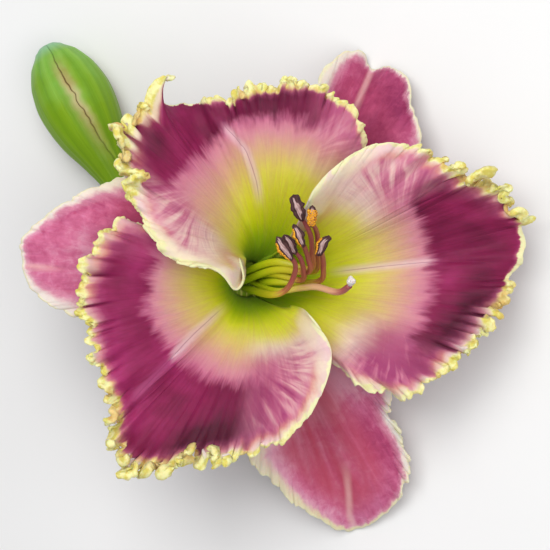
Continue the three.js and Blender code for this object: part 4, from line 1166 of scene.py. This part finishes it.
BUD_DRIFT = [0, -22, 0.22, -20, 0.34, -7, 0.49, -2, 0.59, 1, 0.72, 3, 0.87, 0]  # of the first seam, degrees


def bud_points(s, degrees, inset):
    """Points of the bud: a flattened oval round its axis whose radius follows the length, less an inset."""
    angle = np.radians(degrees)
    radius = through_stations(s, BUD_RADII)
    r = np.maximum(radius - inset, 0.4 * radius)[..., None]
    across = -np.cos(angle)[..., None] * BUD_SIDE + BUD_FLATTEN * np.sin(angle)[..., None] * UP
    points = BUD_AXIS_FOOT + (s * BUD_LENGTH)[..., None] * BUD_AXIS + r * across
    sunk = np.maximum(-(points - REST_POINT) @ UP, 0)
    return points + sunk[..., None] * UP


def add_bud(skin, core):
    """Three ribbed sepals that meet along wavering seams, wrapped round the furled petals."""
    s = np.linspace(0, 1, BUD_ROWS)[:, None]
    share = np.linspace(0, 1, BUD_COLS)[None, :]
    edge = np.abs(2 * share - 1)
    along = s * BUD_LENGTH
    shift = (2.0 * wander(along, 15, 300) + 1.4 * wander(along, 5, 301)) * np.sin(np.pi * s)
    shift = shift + by_stations(s, BUD_DRIFT)
    for k, seam in enumerate(BUD_SEAMS):
        near_first = smooth(1 - share / 0.3) if k == 0 else 0
        near_last = smooth(1 - (1 - share) / 0.3) if k == 2 else 0
        degrees = seam + 0.35 + 119.3 * share + shift * (near_first + near_last)
        round_it = np.radians(degrees) * 10
        ribs = 0.06 * np.cos(2 * np.pi * 4 * share + 1.5) + 0.05 * wander(round_it, 4.4, 310 + k)
        ribs = ribs + 0.03 * wander(round_it + 2 * s, 1.7, 320 + k)
        ribs = ribs * smooth(s / 0.15) * smooth((1 - s) / 0.1) * (1 - edge**6)
        height, degrees = np.broadcast_arrays(s, degrees)
        outer = bud_points(height, degrees, 0.34 * edge**18 - ribs)
        inner = bud_points(height, degrees, BUD_WALL)
        marks = {
            "uv": grid_uv(share, height),
            "seam": np.radians(60) * (1 - edge) * through_stations(height, BUD_RADII),
            "blush": smooth((height - 0.15) / 0.45) * smooth((0.94 - height) / 0.24),
            "nub": smooth((height - 0.9) / 0.09),
            "height": height,
        }
        add_shell(f"bud_sepal_skin_{k + 1}", outer, inner, marks, skin, f"bud_sepal_{k + 1}")
    points = [BUD_AXIS_FOOT + BUD_AXIS * BUD_LENGTH * place for place in (0.01, 0.5, 0.985)]
    add_bar("bud_furled_petals", points, BUD_CORE_RADII, 80, 64, core, "bud_petals", "bud_petal",
            read=through_stations, first=UP, flat=BUD_FLATTEN)


# ---- stamens and pistil ----
# Each stamen's line starts on a ring on the tube's top, runs along the throat's lower side and turns up to
# its anther. lie is the way the anther points; pollen says how much shows on its left, right and face.
STAMENS = [
    dict(ring=140, anther=[6.6, 19.4, 67], lie=[-0.37, 0.9, 0.2], pollen=(0, 0, 0),
         length=8.2, girth=1.15, hook=0.25, blunt=1,
         way=[[0, 3.9, 40], [10.5, 1.8, 44.5], [11, 6.8, 51], [10.3, 12, 58.5]]),
    dict(ring=80, anther=[10.8, 17, 66.5], lie=[0.1, 0.95, 0.3], pollen=(1, 0, 0.6),
         length=6.6, girth=0.85, hook=-0.3, blunt=0.4,
         way=[[0, 2.7, 37.5], [11.75, 1.2, 41.5], [12.7, 6.9, 48.5], [12.4, 12.1, 56.5]]),
    dict(ring=200, anther=[7, 11.4, 68], lie=[-0.32, 0.95, 0.2], pollen=(1, 0, 0),
         length=7.4, girth=0.85, hook=-0.5, blunt=0.3,
         way=[[0, 1.5, 40], [9.85, 0.9, 48], [9.7, 5, 55.5], [8.5, 8.2, 62]]),
    dict(ring=255, anther=[2.6, 7.6, 66], lie=[-0.6, 0.75, 0.2], pollen=(1, 0, 0),
         length=8.2, girth=1.0, hook=0.5, blunt=0.2,
         way=[[-1.2, -5.9, 43], [3.3, -4.4, 48.5], [5.6, -0.3, 54], [5.9, 3.2, 59]]),
    dict(ring=-20, anther=[13.6, 8.6, 66], lie=[0.22, 0.95, 0.3], pollen=(0.8, 0, 0),
         length=6.8, girth=0.95, hook=1.3, blunt=0.5,
         way=[[0, -2.1, 37], [12.9, -2, 43.2], [14.4, 2.4, 49.5], [13.8, 6.5, 57]]),
    dict(ring=30, anther=[4.6, 9, 62], lie=[-0.3, 0.85, 0.35], pollen=(0.2, 0, 0),
         length=7.0, girth=0.9, hook=-0.9, blunt=0.6,
         way=[[0, 0.3, 37.8], [7.8, -1.5, 44], [8.4, 1.4, 51.5], [7.4, 5, 57.5]]),
]
RING_RADIUS = 2.7
FILAMENT_RADII = [0, 1.15, 0.4, 1.15, 0.62, 0.88, 0.92, 0.72, 1, 0.42]
STYLE_RADII = [0, 0.8, 0.7, 1.02, 0.94, 0.95, 1, 0.85]
STIGMA_RADII = [0, 0.72, 0.3, 1.0, 0.7, 1.25, 0.92, 0.95, 1, 0.4]
ANTHER_BEHIND = np.array([0.1, -0.25, -0.96])  # from an anther to the filament that carries it
PISTIL_WAY = [[0, -4.8, 38.5], [7.5, -4, 44], [12.3, -3.6, 49], [18.6, -5.1, 55], [21.9, -3.2, 60]]
STIGMA_WAY = [[22, -2.7, 60.6], [22.2, -1.9, 61.9], [22.1, -1.1, 63.2]]


def add_anther(name, stamen, material):
    """A withered boat-shaped pod: two thick rims curl in over a narrow channel, its tip hooked to one side.

    At share s of the length and angle a, the section is (radius sin a, 0.72 radius cos a) across and forward,
    its middle is pushed sideways by the hook as the cube of the way to the tip, and forward by a sine.
    """
    along = unit(stamen["lie"])
    middle = np.array(stamen["anther"], float)
    face = unit(np.array([0.0, 0, 1]) - along * along[2])
    side = np.cross(along, face)
    count, sides = 90, 72
    length, blunt = stamen["length"], stamen["blunt"]
    s = np.linspace(0, 1, count)[:, None]
    angle = np.linspace(0, 2 * np.pi, sides, endpoint=False)[None, :]
    seed = 400 + int(10 * middle[1])
    girth = through_stations(s, [
        0, 0.3, 0.06, 0.75, 0.2, 1.15, 0.5, 1.5, 0.8, 1.2 + 0.25 * blunt, 0.94, 0.7 + 0.5 * blunt, 1, 0.25,
    ])
    girth = girth * stamen["girth"] * (1 + 0.14 * wander(s * length, 3, seed + 2))
    sideways, forward = np.sin(angle), np.cos(angle)
    rims = 0.3 * np.exp(-((np.abs(np.angle(np.exp(1j * angle))) - 0.95) / 0.34) ** 2)
    rims = rims * (1 + 0.3 * wander(s * length + 3 * (angle > np.pi), 2.2, seed + 3))
    channel = 0.5 * np.exp(-(sideways / 0.36) ** 2) * (forward > 0)
    channel = channel + 0.3 * np.exp(-(sideways / 0.3) ** 2) * (forward < 0)
    grain = 0.03 * wander2(s * length, 1.7 * angle, 0.7, seed)
    left, right, front = stamen["pollen"]
    pollen = np.maximum(left * smooth((-sideways - 0.5) / 0.25), right * smooth((sideways - 0.5) / 0.25))
    pollen = np.maximum(pollen, front * smooth((forward - 0.2) / 0.5))
    pollen = pollen * smooth(s / 0.1) * smooth((0.92 - s) / 0.12) * (forward > -0.5)
    crumbs = 0.2 * pollen * np.abs(wander2(s * length, 1.7 * angle, 0.7, seed + 1))
    radius = girth * (1 + rims - channel * 0.6) + (grain + crumbs) * np.sin(np.pi * s) ** 0.3
    hook = stamen["hook"] * smooth((s - 0.55) / 0.45) ** 1.5 - 0.3 * stamen["hook"] * smooth((0.4 - s) / 0.4)
    points = middle + ((s - 0.5) * length)[..., None] * along
    points = points + (radius * sideways + hook)[..., None] * side
    points = points + (radius * forward * 0.72 + 0.5 * np.sin(np.pi * s))[..., None] * face
    ends = [middle - 0.52 * length * along - 0.3 * stamen["hook"] * side,
            middle + 0.52 * length * along + stamen["hook"] * side]
    near_rim = smooth((np.abs(sideways) - 0.3) / 0.22) + (forward < -0.1)
    tips = smooth((np.abs(s - 0.5) - 0.3 + 0.1 * wander(3 * angle, 6, seed + 4)) / 0.14)
    rim = np.clip(np.maximum(near_rim, tips), 0, 1)
    marks = {"uv": bar_uv(s, angle), "rim": np.append(rim, [1, 1]), "pollen": np.append(pollen, [0, 0])}
    add_piece(name, np.concatenate([points.reshape(-1, 3), ends]), tube_faces(count, sides), marks, material,
              name.replace("_pod", ""))


def add_stamens(filament, anther):
    """Each filament is a tapering bar that ends at its anther, which is added with it."""
    for k, stamen in enumerate(STAMENS):
        turn = math.radians(stamen["ring"])
        out = ACROSS * math.cos(turn) + UPRIGHT * math.sin(turn)
        foot = TUBE_TOP + BLOOM_AXIS * SEAT + RING_RADIUS * out
        along = unit(stamen["lie"])
        end = np.array(stamen["anther"]) - 1.5 * along + ANTHER_BEHIND * 1.5 * stamen["girth"]
        add_bar(f"filament_thread_{k + 1}", [foot, *stamen["way"], end], FILAMENT_RADII, 90, 24, filament,
                f"filament_{k + 1}", "filament", zone=way_along,
                relief=lambda s, a: 0.03 * np.cos(3 * a + 4 * s))
        add_anther(f"anther_pod_{k + 1}", stamen, anther)


def add_pistil(style, stigma):
    """The style is a bar that thickens slowly; the stigma is a three-lobed knob, felted all over."""
    add_bar("style_stem", [TUBE_TOP + BLOOM_AXIS * SEAT, *PISTIL_WAY], STYLE_RADII, 110, 28, style,
            "style", "style", zone=way_along, relief=lambda s, a: 0.05 * np.cos(3 * a))
    add_bar("stigma_knob", STIGMA_WAY, STIGMA_RADII, 48, 72, stigma, "stigma", "stigma",
            read=through_stations,
            relief=lambda s, a: 0.28 * np.cos(3 * a + 0.6) * s + 0.07 * wander2(9 * s, 2.2 * a, 0.55, 7))


def add_plant():
    """Every piece of the bloom, the bud and their scape."""
    stem = stem_finish()
    petal = petal_finish()
    sepal = sepal_finish()
    for name, tepal in PETALS.items():
        add_petal(name, tepal, petal)
    for name, tepal in SEPALS.items():
        add_sepal(name, tepal, sepal)
    add_tube(tube_finish())
    add_scape(stem)
    add_bracts(stem)
    add_bud(bud_finish(), core_finish())
    add_stamens(filament_finish(), anther_finish())
    add_pistil(style_finish(), stigma_finish())


# ---- camera, light and floor ----
CAMERA_HEIGHT = 710
FACE_HEIGHT = 60
HALF_VIEW = 80.575  # half the width seen at the height of the bloom's face
FLOOR_HALF = 1.5
LIGHT_AIM = (0, 0, 40)


def add_camera():
    """A long lens straight over the bloom's face, in the bloom's frame, with +Y upwards in its view."""
    camera = bpy.data.cameras.new("camera")
    camera.sensor_width = 36
    camera.lens = 0.5 * camera.sensor_width * (CAMERA_HEIGHT - FACE_HEIGHT) / HALF_VIEW
    camera.clip_start = 0.01
    holder = placed("camera", camera)
    holder.location = to_part([0, 0, CAMERA_HEIGHT])
    holder.rotation_euler = Euler((0, LEAN, 0))
    bpy.context.scene.camera = holder


def add_light(name, place, size, power):
    """A square soft white light at a place in the bloom's frame, turned to face the bloom."""
    data = bpy.data.lights.new(name, "AREA")
    data.shape = "SQUARE"
    data.size = size
    data.energy = power
    holder = placed(name, data)
    holder.location = to_part(place)
    aim = Vector(to_part(LIGHT_AIM) - to_part(place))
    holder.rotation_euler = aim.to_track_quat("-Z", "Y").to_euler()


def add_floor():
    """A plain flat floor on the surface."""
    mesh = bpy.data.meshes.new("floor")
    corners = [(x * FLOOR_HALF, y * FLOOR_HALF, 0) for x, y in ((-1, -1), (1, -1), (1, 1), (-1, 1))]
    mesh.from_pydata(corners, [], [(0, 1, 2, 3)])
    mesh.materials.append(floor_finish())
    floor = placed("floor", mesh)


add_camera()
add_light("key light", (-200, 260, 640), 0.45, 3.3)
add_light("fill light", (150, -70, 680), 0.5, 1.9)
world = bpy.data.worlds.new("studio")
world.use_nodes = True
background = world.node_tree.nodes["Background"]
background.inputs["Color"].default_value = (0.9, 0.93, 1.0, 1)
background.inputs["Strength"].default_value = 0.42
bpy.context.scene.world = world
bpy.context.scene.view_settings.view_transform = "Standard"
add_plant()
add_floor()
